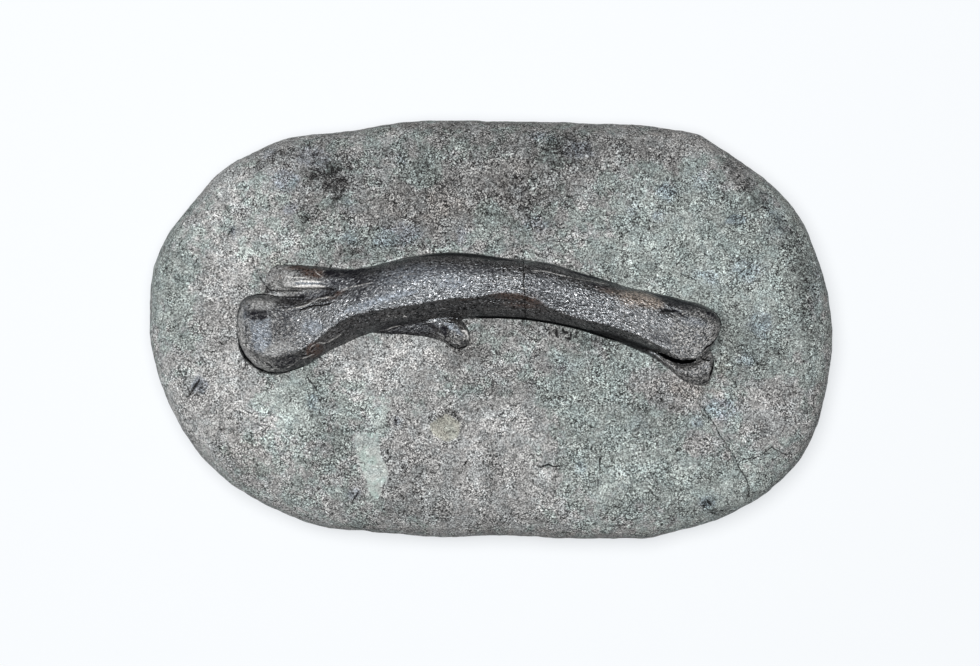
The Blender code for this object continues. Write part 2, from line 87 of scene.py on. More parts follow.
# Bone stations: x, front edge y, back edge y, crest y, crest z, ridge y, ridge z, and how deep the
# bone reaches below its middle. The ridge is the sharp back edge of the side face.
SHAFT: Rows = (
    (-102.4, 1.6, 1.5, 1.6, 37, 1.5, 37, 1),
    (-101.9, 7.4, -4.3, 2, 39.6, -1.5, 39.3, 5),
    (-99.9, 12, -10.3, 3, 42.1, -6, 41.5, 9),
    (-96.2, 13.9, -14.3, 3, 43.8, -8.5, 42.9, 11.5),
    (-91.4, 14.5, -17.1, 2, 44.5, -10.5, 43.2, 12.5),
    (-85.8, 14.1, -17.7, 1, 44.3, -11, 43, 12.5),
    (-79.3, 13.5, -16.3, 1.5, 43.5, -9.5, 42.6, 12),
    (-72.9, 14.3, -13.7, 2.5, 43.4, -6.5, 43.2, 11.5),
    (-66.4, 17.5, -9.3, 4.5, 44, -1.5, 44.2, 11),
    (-60, 21.9, -6.1, 8.4, 44.7, 3.2, 45, 11),
    (-53.6, 24.3, -3.3, 12, 45.3, 5.9, 45.6, 11),
    (-46.3, 25.9, -0.8, 14.5, 45.9, 7.3, 46, 11),
    (-36.6, 28.4, 1, 16.5, 46.4, 8.8, 46.3, 11),
    (-26.6, 30.2, 2.8, 18, 46.8, 10.4, 46.5, 11),
    (-16.5, 31, 4, 19, 47, 12, 46.6, 11),
    (-6.4, 30.4, 4.4, 19.2, 47, 12.6, 46.6, 11),
    (3.6, 29, 4.4, 19.4, 46.9, 14.2, 46.4, 11),
    (14.1, 27.9, 3.8, 18.8, 46.6, 12.6, 45.4, 11),
    (24.6, 26.5, 2.2, 16.6, 46.3, 7.8, 43.9, 11),
    (35, 23.1, 0, 12.8, 46, 4, 44.1, 11),
    (45.5, 20.1, -3.3, 9.5, 45.7, 1.6, 44.5, 11),
    (56, 16.7, -6.4, 6.5, 45.6, -1.5, 44.5, 11),
    (62, 15.6, -8, 4.6, 45.6, -4.2, 44.7, 11.3),
    (68, 14.2, -9, 2.8, 45.7, -7.3, 44.8, 11.7),
    (72.2, 13.3, -10.9, 1.6, 45.8, -9.8, 44.9, 12.1),
    (76.1, 12.2, -12.9, 0.8, 45.9, -11.9, 44.9, 12.5),
    (80.4, 11.2, -12.8, 0, 45.9, -11.8, 44.9, 12.5),
    (84.1, 10.2, -11.5, -0.6, 45.7, -10.5, 44.8, 12.5),
    (89.4, 7.8, -6, 0.8, 44.2, -4.4, 43.7, 10.5),
    (92, 4.6, -1, 2, 41.5, 0.8, 41.2, 7),
    (92.6, 2.2, 2, 2.2, 37.5, 2, 37.5, 1),
)
FINGER: Rows = (
    (-92.2, 20.6, 20.4, 20.6, 33.9, 20.5, 33.9, 1),
    (-90.6, 23.2, 17.4, 20.6, 34.9, 19.4, 34.9, 5),
    (-87.3, 25.4, 15.9, 20.2, 36.6, 18.2, 36.8, 8),
    (-82.9, 26.1, 15.7, 19.7, 40.2, 17.3, 40.3, 9),
    (-76.8, 25.9, 15.6, 19.4, 42, 16.8, 42, 9.5),
    (-69.6, 25.3, 15.2, 19.2, 42.6, 16.6, 42.5, 10),
    (-62.8, 24.6, 14, 18.6, 42.8, 16.2, 42.8, 10),
    (-54, 24, 12, 17.8, 43.2, 15, 43.6, 10),
    (-44, 23, 12, 17.6, 42.2, 15, 42.6, 9),
    (-38, 19, 18.6, 19, 36, 18.8, 36, 1),
)
WEB: Rows = (
    (-91.4, 15.6, 15.4, 15.5, 34.5, 15.5, 34.5, 1),
    (-89, 18, 11, 15.6, 37.6, 14, 37.4, 5),
    (-80, 18, 10, 15, 39.4, 13, 39, 8),
    (-68, 18, 9, 14.2, 40.8, 12.2, 40.4, 9),
    (-56, 18, 9, 14.2, 42, 12.2, 42, 9),
    (-50, 14.2, 13.8, 14, 36, 14, 36, 1),
)
BLADE: Rows = (
    (-52, 1.6, 1.4, 1.5, 34.5, 1.5, 34.5, 1),
    (-47.9, 3.6, -1.2, 1.4, 37.6, 0.6, 37.4, 4),
    (-42.6, 5, -1.6, 3.4, 37.2, 2.6, 37, 6),
    (-36.6, 6, -2, 4, 37.2, 3.2, 37, 7),
    (-28.6, 6.4, -2.6, 4.2, 37.3, 3.2, 37.1, 7.5),
    (-23.7, 6.4, -3.5, 3, 37.9, 1.6, 37.5, 7.5),
    (-19.7, 6, -4.8, 1.6, 38.7, -0.8, 38.2, 7.5),
    (-15.5, 5.2, -7.2, -0.6, 39.4, -3.6, 39, 7.5),
    (-12, 3.6, -7.9, -1.6, 39.4, -4.4, 39, 6.5),
    (-9.4, 0.4, -6.4, -2.8, 38.4, -4, 38.2, 4.5),
    (-8.4, -2.8, -3.2, -3, 35.5, -3.1, 35.5, 1),
)
INNER_CONDYLE: Rows = (
    (52, -4.6, -5.4, -5, 33.5, -5.1, 33.5, 2),
    (58.3, -5, -8, -7, 35.4, -7.2, 35.2, 6),
    (64, -6.2, -10.5, -9.2, 36.6, -9.6, 36.4, 10),
    (68, -9.6, -13, -11.4, 37.4, -11.9, 37, 11.5),
    (72.8, -13, -16.6, -14.8, 37.8, -15.4, 37.5, 12.5),
    (76.8, -14.4, -20.1, -17.2, 38.4, -18, 38.1, 13.5),
    (81.7, -13.9, -22.2, -17.8, 38.8, -19.2, 38.5, 13.5),
    (85.7, -10.6, -22.5, -16.6, 39.2, -18.8, 38.8, 12),
    (88.4, -8.4, -20.6, -14.4, 38.4, -16.8, 38, 9),
    (89.8, -12.6, -14.4, -13.5, 35.6, -13.7, 35.6, 1),
)

# How the points of a bone section lie between its edges, crest and ridge, as parts of the way.
FRONT_FLANK = (0.13, 0.55)
FRONT_SHOULDER = (0.42, 0.84)
BACK_FLANK = (0.62, 0.55)
FACE_SIDE_OF_RIDGE = (0.28, 0.36)
BACK_SIDE_OF_RIDGE = (0.24, 0.34)
UNDER_TURN = (0.10, 0.62)

# Slab outline, as parts of half the length and half the width, anticlockwise from the right end.
SLAB_OUTLINE: Rows = (
    (1, 0), (0.985, 0.2), (0.953, 0.362), (0.912, 0.515), (0.871, 0.606), (0.811, 0.708), (0.737, 0.8),
    (0.637, 0.908), (0.59, 0.941), (0.432, 0.976), (0.22, 0.988), (0, 0.994), (-0.186, 0.999),
    (-0.304, 0.979), (-0.42, 0.948), (-0.566, 0.927), (-0.643, 0.884), (-0.781, 0.77), (-0.862, 0.63),
    (-0.96, 0.422), (-0.995, 0.23), (-1, 0), (-0.989, -0.113), (-0.962, -0.278), (-0.913, -0.457),
    (-0.866, -0.573), (-0.808, -0.674), (-0.699, -0.802), (-0.544, -0.922), (-0.356, -0.97),
    (-0.129, -0.993), (0.042, -0.987), (0.234, -0.999), (0.396, -0.999), (0.474, -0.994), (0.664, -0.912),
    (0.789, -0.807), (0.869, -0.694), (0.922, -0.579), (0.963, -0.422), (0.995, -0.171),
)

# Side of the slab from under its middle to over it: height, inset from the widest outline, and
# share of the way out from the middle.
SLAB_PROFILE: Rows = (
    (-2, 7.5, 0), (-2, 7.5, 0.96), (-2, 7, 1), (1, 4.2, 1), (4.5, 1.6, 1), (12.5, 0, 1), (21, 0.9, 1),
    (27, 3, 1), (31, 6.6, 1), (33.2, 11.5, 1), (34, 19, 1), (34, 19, 0),
)


class BoneMark(Enum):
    """What is painted on the bone, each as one attribute of its mesh."""

    TAN = "bone_tan"
    SMUDGE = "bone_smudge_and_shade"
    STAIN = "bone_stain"
    SEAM = "bone_seam_and_highlight"
    MATTE = "bone_matte"
    WORN = "bone_upward_highlight"
    POLISH = "bone_polish_and_highlight"
    DUST = "bone_dust_and_light"
    GAP = "bone_painted_shade"


class RockMark(Enum):
    """What is painted on the rock, each as one attribute of its mesh."""

    TONE = "rock_tone"
    DARK = "rock_dark_and_shade"
    PALE = "rock_pale"
    SCAR = "rock_scar"
    GREEN = "rock_green"
    BLUE = "rock_blue"
    BROWN = "rock_brown"
    NODULE = "rock_nodule"
    CRACK = "rock_crack_shade"
    FLAKE = "rock_flake"
    SHINE = "rock_shine"


def smooth_step(values: Array) -> Array:
    """Ease numbers between 0 and 1, and hold them there."""
    held = np.clip(values, 0.0, 1.0)
    return held * held * (3.0 - 2.0 * held)


def turned(plan: Array, x: float, y: float, turn: float = 0.0) -> tuple[Array, Array]:
    """See points from the middle of an oval, along and across its turn.

    Args:
        plan: x and y of each point.
        x: the middle's x.
        y: the middle's y.
        turn: the oval's turn in degrees, anticlockwise.

    Returns:
        How far each point lies along the oval and across it.
    """
    cos, sin = math.cos(math.radians(turn)), math.sin(math.radians(turn))
    right, up = plan[:, 0] - x, plan[:, 1] - y
    return right * cos + up * sin, up * cos - right * sin


@dataclass(frozen=True)
class Blot:
    """An oval seen from above, with a soft edge."""

    x: float
    y: float
    half_x: float
    half_y: float
    turn: float = 0.0
    strength: float = 1.0
    softness: float = 0.6

    def cover(self, plan: Array) -> Array:
        """Say how strongly the blot covers points.

        Args:
            plan: x and y of each point.

        Returns:
            The strength inside the oval, falling to 0 past its edge.
        """
        along, across = turned(plan, self.x, self.y, self.turn)
        reach = np.hypot(along / self.half_x, across / self.half_y)
        return self.strength * smooth_step((1.0 + self.softness - reach) / (2.0 * self.softness))


@dataclass(frozen=True)
class Stroke:
    """A thin mark seen from above, along straight runs, that tapers at both ends."""

    points: tuple[Point, ...]
    half_width: float
    strength: float = 1.0
    depth: float = 0.0

    def cover(self, plan: Array) -> Array:
        """Say how strongly the stroke covers points.

        Args:
            plan: x and y of each point.

        Returns:
            The strength on the line, falling to 0 at the half width.
        """
        line = np.array(self.points)
        low = line.min(axis=0) - self.half_width
        high = line.max(axis=0) + self.half_width
        near = np.flatnonzero(np.all((plan > low) & (plan < high), axis=1))
        covered = np.zeros(len(plan))
        if not len(near):
            return covered
        runs = np.diff(line, axis=0)
        lengths = np.linalg.norm(runs, axis=1)
        passed = np.concatenate(([0.0], np.cumsum(lengths)))
        taper = min(TAPER_SHARE * passed[-1], TAPER_WIDTHS * self.half_width)
        best = np.zeros(len(near))
        for start, run, length, before in zip(line[:-1], runs, lengths, passed[:-1]):
            away = plan[near] - start
            part = np.clip(away @ run / length ** 2, 0.0, 1.0)
            gap = np.linalg.norm(away - part[:, None] * run, axis=1)
            place = before + part * length
            width = np.clip(np.minimum(place, passed[-1] - place) / taper, TAPER_END, 1.0)
            best = np.maximum(best, 1.0 - gap / (width * self.half_width))
        covered[near] = self.strength * smooth_step(best)
        return covered


@dataclass(frozen=True)
class Patch:
    """A many-sided area seen from above, with a fairly crisp edge."""

    corners: tuple[Point, ...]
    strength: float = 1.0
    softness: float = 0.5

    def cover(self, plan: Array) -> Array:
        """Say how strongly the patch covers points.

        Args:
            plan: x and y of each point.

        Returns:
            The strength inside the corners, falling to 0 past the edge.
        """
        inside = np.zeros(len(plan), dtype=bool)
        gap = np.full(len(plan), np.inf)
        for start, end in zip(self.corners, self.corners[1:] + self.corners[:1]):
            start, run = np.array(start), np.subtract(end, start)
            away = plan - start
            part = np.clip(away @ run / (run @ run), 0.0, 1.0)
            gap = np.minimum(gap, np.linalg.norm(away - part[:, None] * run, axis=1))
            spans = (away[:, 1] >= 0.0) != (away[:, 1] >= run[1])
            crossing = away[:, 0] < away[:, 1] * run[0] / (run[1] or 1.0)
            inside ^= spans & crossing
        reach = np.where(inside, gap, -gap) / self.softness
        return self.strength * smooth_step(0.5 + 0.5 * reach)


Shape = Blot | Stroke | Patch


def blots(*rows: tuple[float, ...]) -> tuple[Blot, ...]:
    """Make several blots, each from a row of its fields in order."""
    return tuple(Blot(*row) for row in rows)


# Hairlines and grooves that are cut into the bone, or raised on it where the depth is below 0.
BREAK = Stroke(((12.9, 29.5), (13.1, 22), (13, 17), (13.5, 15.4), (13.6, 10), (13.9, 3)),
               0.36, 0.65, 0.5)
TIP_CRACKS = (
    Stroke(((92.4, 1.4), (91.5, -2.6), (89.9, -4.7), (87.8, -6.3), (86.2, -6.9), (85.1, -8.5),
            (84.5, -10.9)), 0.62, 1, 1),
    Stroke(((91.5, -3.1), (90.4, -5.2), (90.1, -8.5), (89.6, -11.8)), 0.5, 0.75, 0.6),
    Stroke(((84.2, -11), (85.7, -12.3), (88.9, -12.5)), 0.55, 0.85, 0.6),
    Stroke(((89.4, -11.4), (89.5, -14.7), (88.3, -18), (87.5, -21)), 0.6, 0.95, 0.7),
    Stroke(((84.6, -21.8), (86.6, -21), (87.6, -21.2)), 0.5, 0.8, 0.5),
)
HEAD_GROOVES = (
    Stroke(((-93, 21), (-91.8, 19.1), (-89.3, 15.9), (-85.1, 15.5), (-79.9, 15.5), (-72.2, 16)),
            0.8, 0.55, 0.8),
    Stroke(((-99.3, 12.9), (-96, 14), (-92.4, 14.2), (-88.6, 13.8), (-86.8, 13.2), (-79.9, 12.8),
            (-75, 12.8), (-72.2, 13.7)), 0.6, 0.7, 0.5),
    Stroke(((-79.5, 7.4), (-76.5, 7.9), (-73.5, 8.9), (-70.5, 9.7), (-66.5, 9.8), (-62, 11.4)),
            0.55, 0.8, 0.4),
)
RAISED_CRACK = (
    Stroke(((-82.4, 7.4), (-81, 8.1), (-78.1, 8.8), (-74.8, 9.3), (-72.2, 10.9), (-69.1, 12.4), (-64.9, 13),
            (-62.6, 12.9)), 0.5, 0.55, -0.3),
    Stroke(((-61, 14.6), (-58.4, 16.2), (-54.4, 17.3), (-51.2, 18), (-46.6, 18.9)), 0.45, 0.48, -0.2),
    Stroke(((-54, 16.4), (-51, 17), (-46.9, 17.6)), 0.36, 0.34, -0.1),
)
CONDYLE_SLOT = Stroke(((65.4, -8.9), (68.1, -9.9), (71.9, -11.6), (74, -12.6), (77.3, -13.2), (80.5, -12.9),
                      (82.7, -12.3), (84.4, -11.5)), 1.7, 1, 3.4)
KNOB_GROOVE = Stroke(((-19.6, -3.4), (-16, -6.4), (-13.6, -7.9), (-11.3, -7.1), (-9, -6.4), (-8.5, -4.4)),
                     0.5, 0.75, 0.4)

# Lines on the bone that get painted shade, near black, beside the cracks and grooves; a few are also cut a
# little.
SHADE_LINES = (
    Stroke(((-100.2, 10.6), (-101.8, 6.4), (-102.4, 2), (-102.3, -2)), 0.7, 0.6),
    Stroke(((-102.3, -1), (-101.2, -6.4), (-98.8, -11), (-95, -15.2), (-90.4, -17.4), (-85.6, -18),
            (-80.8, -17), (-75.4, -14.6)), 1.05, 0.95),
    Stroke(((36, 0.2), (43.8, -1.6), (49.2, -2.8), (54.5, -4.8), (59.9, -6.9), (63.9, -8.3), (66.8, -9),
            (69.4, -9.8)), 3.2, 0.56),
    Stroke(((62, 14.8), (65.6, 13.9), (71.1, 12.6), (76.5, 11), (81.9, 9.5), (88.4, 7.2)), 1.4, 0.45),
    Stroke(((-30, 28.9), (-26.6, 29.5), (-16.5, 30.2), (-6.4, 29.6), (3.6, 28.2), (12.4, 27.2)), 2.2, 0.55),
    Stroke(((12.6, 27.4), (24.6, 25.8), (35, 22.5), (45.5, 19.5), (53, 17.2)), 1.4, 0.42),
    Stroke(((88.8, 8), (91.2, 5.4), (92.2, 2.4), (92.1, -0.6), (91.2, -3.4)), 0.7, 0.65),
    Stroke(((-10, 5), (3.6, 4.9), (14.1, 4.3), (24.6, 2.7), (35, 0.5), (45.5, -2.8), (54, -5.4)),
            1.2, 0.72), Stroke(((67.2, 7.3), (70.8, 7.5), (74.5, 6.7)), 1.9, 0.58, 0.1),
    Stroke(((74, 6.9), (76.5, 5.6), (78.3, 4.3)), 1.3, 0.46, 0.05),
)

# Pale hairlines of mineral on the bone, and painted highlights: the bright streaks on the ridge of the
# little trochanter and the arc on the knob.
SEAMS_AND_HIGHLIGHTS = (
    Stroke(((15.9, 23.4), (20.8, 23.3), (25.4, 22.3), (29, 21.4), (33, 20.6)), 0.36, 0.5, -0.05),
    Stroke(((-80.4, 17.1), (-76, 17.2), (-71, 17.2), (-65.4, 17.1)), 1.1, 1, -0.05),
    Stroke(((-79.6, 19.2), (-74, 19.3), (-67, 19)), 0.9, 0.66),
    Stroke(((-84, 20.7), (-81.8, 21.1), (-77, 20.8), (-72, 20.5)), 0.5, 0.65, -0.05),
    Stroke(((-71.2, 24.6), (-69.8, 22.6), (-67.5, 21), (-68.6, 19.8)), 0.36, 0.55, -0.05),
    Stroke(((33, 20.6), (40, 19.3), (47, 18)), 0.3, 0.4), Stroke(((62.4, -5.2), (64.8, -6.1)), 0.4, 0.6),
    Stroke(((66, -9), (68.8, -10)), 0.4, 0.55), Stroke(((-66.6, 24.2), (-68, 22.2)), 0.32, 0.45, -0.05),
    Stroke(((-72.8, -8.2), (-71.4, -6.5), (-69.3, -5.2), (-67, -5.6), (-65, -4.9), (-62.2, -3.4),
            (-59, -1.2)), 0.42, 0.52, -0.08),
    Stroke(((-83.3, -15.8), (-80.2, -14.6), (-77.2, -12.2)), 0.4, 0.45, -0.05),
    Stroke(((-76.2, -12), (-73.8, -11), (-70.6, -9.8)), 0.4, 0.52, -0.05),
    Stroke(((-93.6, -10.2), (-89.8, -12.6), (-87.2, -15.2)), 0.32, 0.35, -0.05),
    Stroke(((-42.8, -0.4), (-39.6, 0.9), (-36.2, 1.6)), 0.38, 0.6, -0.08),
    Stroke(((-26.2, 2.7), (-22, 3.3)), 0.4, 0.45, -0.05),
    Stroke(((-12.2, -0.2), (-10.2, -0.8), (-9.1, -2.6), (-9.3, -4.8)), 0.62, 1, -0.1),
    Stroke(((-41.6, 5.6), (-40.4, 5.2)), 0.42, 0.65), Stroke(((-38.6, 5.1), (-37.6, 4.6)), 0.36, 0.55),
    Stroke(((-35.4, 4.8), (-34.6, 5.4), (-33.6, 4.9)), 0.36, 0.55),
    Stroke(((-38.4, 20.6), (-34, 21.9), (-29.6, 22.4)), 0.32, 0.35, -0.05),
    Stroke(((11.4, 16.5), (14, 16.3)), 0.5, 0.85), Stroke(((0.5, 21), (12.4, 20.4)), 0.3, 0.35, -0.05),
    Stroke(((-1, 19.3), (12.4, 18.7)), 0.3, 0.35, -0.05),
    Stroke(((3, 17.9), (12.4, 17.5)), 0.3, 0.3, -0.05),
)

# Broad dents in the bone, below 0, and swells on it: ovals with their height as the strength.
BONE_SWELLS = blots(
    (-80.5, 4.5, 7.5, 8, 0, -0.55, 0.9), (-92.5, -1, 6.5, 9, 0, -0.25, 0.9),
    (-66, 15, 13, 2.6, 10, -0.5, 0.9), (-56, 19.5, 9, 2.4, 10, -0.35, 0.9),
    (-71, 23.2, 7, 2, -4, -0.35, 0.9), (-81.8, 18.2, 2.6, 1.8, 0, 0.35, 0.8),
    (74, 6.4, 9, 1.8, -22, -0.45, 0.9), (86.8, 5, 2.4, 1.5, -20, -0.6, 0.8),
    (80.5, -2, 7, 5, -30, 0.25, 0.9), (-11.5, 1.2, 1.6, 1.5, 0, -0.7, 0.9),
    (-18.8, -0.4, 2.2, 1.2, -60, -0.7, 0.9), (-14.8, 0.2, 3.6, 1, -38, 0.35, 0.9),
    (-13.4, -4.6, 2.4, 1.4, -30, -0.35, 0.9),
)

BONE_PAINT: dict[BoneMark, tuple[Shape, ...]] = {
    BoneMark.TAN: blots(
        (61, 12, 8, 2.6, -17, 1, 0.4), (55.5, 11.6, 4.6, 2.4, -17, 0.75, 0.7),
        (50, 14.6, 4.5, 1.2, -17, 0.45, 0.7),
    ),
    # Dark smudges, and painted shade along the shaft's front half, on its shaded edge flanks and in the
    # trough by the little trochanter.
    BoneMark.SMUDGE: (
        Stroke(((-56, 15.6), (-48, 18.6), (-40, 20.6), (-28, 23.2), (-16, 24.4), (-2, 23.6), (12, 22)),
                4, 0.44), Stroke(((-90.4, 3.4), (-88, 3), (-87.8, 0), (-87.6, -3.6)), 0.9, 0.45),
        Stroke(((66.4, 8), (70, 8), (73.6, 7.4), (76.6, 5.6), (78.8, 4.4)), 0.9),
        Stroke(((28.8, 23.8), (38, 21.6), (47.3, 19.2)), 0.9, 0.8),
        Stroke(((34, 19.2), (44, 17.2), (52, 14.8)), 0.8, 0.6),
        Stroke(((-67.4, 23), (-58, 22.8), (-48, 24.4)), 1.9),
        *blots(
            (-93.2, 6, 4.9, 2.2, 4, 1, 0.35), (-96.6, 7, 2, 1.4, 0, 0.6, 0.7),
            (-81.6, -12.9, 4.6, 3, 12, 0.66, 0.5), (-84.4, -11.4, 3, 1.6, 30, 0.35, 0.7),
            (-88, -4, 13, 12, 0, 0.12, 0.8), (-83.4, 0.4, 5.6, 6.4, 0, 0.36, 0.5),
            (-50, 15.6, 12, 3.4, 17, 0.44), (68, -3.4, 6, 2.4, -25, 0.26), (20, 17.5, 6.4, 6, -14, 0.26),
            (-82.5, 6.6, 4, 5, 0, 0.45, 0.8), (-74.6, 13.4, 7, 1.4, 6, 0.6),
            (-34, 0.2, 13, 3.4, 4, 0.45, 0.3), (-18.8, -0.4, 2.4, 1.5, -60, 0.9),
            (76.5, 10.2, 9.6, 1.9, -15, 0.5, 0.7), (88, 5.8, 2.6, 1.1, -30, 0.85, 0.5),
            (-57, 20.2, 12, 2.4, 12, 0.6, 0.7), (-68, 14.4, 9, 1.6, 10, 0.45, 0.7),
            (-63, 22.4, 3.6, 1.6, 0, 0.9), (-50, 18.8, 9, 3.4, 14, 0.55),
        ),
    ),
    BoneMark.STAIN: (
        Stroke(((-73.4, -10.8), (-73, -7.4), (-70.6, -6.2), (-67.4, -6.8)), 1.8),
        Stroke(((-14, 11.6), (-6, 12)), 0.5, 0.6),
        *blots(
            (9, 13.2, 8, 1.4, -4, 0.75, 0.7), (16.5, 11.6, 3.6, 1.1, -20, 0.8),
            (13, 9.6, 7, 1, -4, 0.5, 0.7), (-71.4, 22.6, 4.6, 2.2, -6, 1, 0.5),
            (-78, 24.9, 5, 0.9, 6, 0.85), (-84.6, 21, 3, 0.6, 20, 0.45, 0.7),
            (-70.2, -9, 2.6, 1.6, 30, 0.85, 0.7), (-60.8, 14.6, 2, 0.9, 30, 0.85),
            (-63.8, 12.4, 1.4, 0.6, 0, 0.7), (45.6, 15.6, 3.4, 1.2, -20, 0.45, 0.7),
        ),
    ),
    BoneMark.MATTE: blots(
        (82.5, -3, 12, 11, -20, 1, 0.4), (79, -16, 12, 7, -35, 1, 0.3), (62, 2, 12, 6, -25, 0.4, 0.7),
        (-14.2, -4, 6.8, 5, 0, 0.8, 0.4), (-89, -5, 14, 15, 0, 0.66, 0.35), (-74, 2, 9, 6, 20, 0.45, 0.7),
        (-79, 18, 12, 4.5, 0, 0.8, 0.4),
    ),
    # Polished patches, and a pale blue painted highlight along the shaft above its ridge, on the fourth
    # trochanter and in bright spots.
    BoneMark.POLISH: (
        Patch(((-96.6, 3.6), (-88, 3.8), (-87.9, -4.8), (-90.4, -9.2), (-94.6, -8.8)), 1, 0.8),
        Stroke(((-61, 6), (-56.5, 7.6), (-50, 9.8), (-44.1, 11.8), (-36, 14), (-27, 15.8)), 2.6),
        Stroke(((-18.6, 2.4), (-15.5, 0.9), (-13.2, -0.8), (-11.4, -2.6)), 1.9),
        Stroke(((-79.6, 18.7), (-73, 18.7), (-66.8, 18.5)), 1.2),
        *blots(
            (-99, 5, 2, 5, 0, 0.4, 0.8), (-32, 21.4, 13, 3.4, 8, 0.45, 0.8),
            (-71.6, 1, 3.6, 2.8, 10, 0.9, 0.7), (81, 3, 5, 1.6, -10, 0.5, 0.7),
            (-15.6, 19, 7, 3.2, -10, 0.45, 0.8),
        ),
    ),
    # Rock dust on the tip of the little trochanter, and painted light: a pale band inside the head's rim, on
    # its front slope and on the knob's arc.
    BoneMark.DUST: (
        Patch(((-93.6, 20), (-91, 17.6), (-88.6, 16.4), (-84.6, 16.6), (-84.4, 20.2), (-79.4, 21.8),
                (-78, 23.6), (-80.6, 24.6), (-84.4, 26.2), (-88.6, 26), (-92, 23.6)), 0.42, 1),
        Stroke(((-97, 12), (-99.4, 9.4), (-100.8, 5), (-101, 0), (-99.8, -5.4), (-97.4, -10), (-94, -13.6),
                (-89.6, -15.8), (-85.6, -16.2)), 2.6, 0.6),
        Stroke(((-12.2, -0.3), (-10.2, -1), (-9.3, -2.8), (-9.5, -4.8)), 0.9, 0.9),
        *blots(
            (-81.5, 18.4, 2.8, 2.2, 0, 0.62, 0.4), (-86, -8, 5.6, 2.4, 20, 0.4, 0.8),
            (-93, 10.2, 6, 2.2, 6, 0.42, 0.7), (-86, 13.9, 7, 0.8, 0, 0.55),
        ),
    ),
}

# Cracks and ledges in the rock, with how deep they cut. The rock is also darkened along them, as painted
# shade.
ROCK_CRACKS = (
    Stroke(((-121.8, -27.2), (-119.6, -23), (-116.8, -19.2)), 1, 0.8, 0.8),
    Stroke(((-75.4, -17.6), (-72.4, -21.6), (-69.2, -26.2)), 0.6, 0.8, 0.35),
    Stroke(((-84.4, -17.8), (-81.6, -19.2), (-79.8, -21.2)), 0.6, 0.8, 0.4),
    Stroke(((-94, -16.5), (-90.8, -18.5)), 0.6, 0.7, 0.4),
    Stroke(((-93.6, 21.6), (-92.4, 19.9), (-91.2, 18.2), (-90, 16.6)), 0.8, 0.65, 0.6),
    Stroke(((-92.2, -42), (-90.9, -40.2), (-89.2, -38.6)), 0.7, 1, 0.4),
    Stroke(((16.9, -53.9), (20.1, -55.6), (23.3, -54.4), (25.2, -55.3), (31, -54.6)), 0.75, 1, 0.55),
    Stroke(((44.6, -49.8), (43.7, -53.5), (43.9, -58.3)), 0.65, 1, 0.5),
    Stroke(((83.5, -28.9), (89, -36.9), (90.6, -39), (91.8, -42.2), (94.2, -45), (96.2, -48.8),
            (98.4, -51.8), (99.7, -55.2), (102, -58.6), (104, -62.5), (104.6, -65.7), (104, -68.3)),
            0.52, 0.85, 0.6), Stroke(((62.7, -59.3), (63.2, -57.5), (65.9, -58)), 0.5, 0.75, 0.3),
    Stroke(((70.4, -59.9), (72.3, -59.3), (75.6, -60.6), (77.5, -63.1), (76.2, -65.4), (73, -65.1),
            (70.4, -62.8)), 0.45, 0.6, 0.25), Stroke(((87, -68.6), (88.4, -70.6)), 0.9, 1, 0.3),
    Stroke(((85.6, -70.4), (86.6, -72.2)), 0.8, 0.9, 0.3),
    Stroke(((88.8, -74), (91, -74.6)), 0.8, 0.9, 0.3), Stroke(((92.6, -73.6), (94.8, -73)), 0.7, 0.9, 0.3),
    Stroke(((-52, -35.2), (-50.4, -34.9)), 0.8, 0.9, 0.3),
    Stroke(((-38.8, -35.6), (-38.2, -38.2)), 0.8, 0.9, 0.3),
    Stroke(((-41.9, -48.3), (-41.4, -50.4)), 0.7, 0.9, 0.3),
    Stroke(((-41, -59.6), (-40, -61)), 0.8, 0.9, 0.3),
    Stroke(((99.7, -54.8), (101.1, -52.5), (105.3, -52.1), (109.4, -50.6), (113.1, -47.4), (118.7, -50.6),
            (124.2, -50.2)), 0.6, 0.75, 0.4),
    Stroke(((94, 17.2), (100.4, 22.6), (106.9, 28.2)), 0.55, 0.7, 0.35),
    Stroke(((44.6, -77.1), (51.1, -75.7), (55.7, -71.5), (60.4, -66.9), (64.1, -65), (69.8, -63.9)),
            0.5, 0.6, 0.4), Stroke(((43, -80.2), (50, -79.4), (56, -79)), 0.6, 0.7, 0.3),
    Stroke(((-67.9, 55.6), (-64.9, 59.1), (-61.4, 61.1), (-57.9, 60.4), (-56.2, 57.6)), 0.7, 0.6, 0.5),
    Stroke(((-106.3, 36.3), (-105.2, 39.4), (-103.9, 41.9)), 0.8, 0.65, 0.5),
    Stroke(((-55.9, -69.6), (-54.2, -66.8), (-53, -64.6)), 1, 0.8, 0.6),
    Stroke(((60, -60.5), (66, -58), (73.5, -57.6), (79, -60.6)), 0.5, 0.6, 0.25),
    Stroke(((93, 46.6), (95.4, 45), (102.6, 46.2)), 0.5, 0.7, 0.3),
    Stroke(((94, 42.8), (98, 41.8), (103.2, 42.6)), 0.5, 0.7, 0.3),
    Stroke(((-20, -18.8), (-8, -20.2), (1, -22.6)), 0.5, 0.5, 0.25),
    Stroke(((26.6, 1), (26.2, -1.6), (27.4, -3.8)), 1, 1, 0.4),
    Stroke(((28.6, 1.2), (29.4, -1), (31.8, -1.8)), 1, 1, 0.4),
    Stroke(((32.6, -0.8), (32, -3.4), (29.8, -4.6)), 1, 1, 0.4),
    Stroke(((21.2, 0.6), (23.6, -0.8)), 0.7, 0.8, 0.3), Stroke(((16.4, 1.6), (18.4, -0.4)), 0.6, 0.7, 0.3),
)

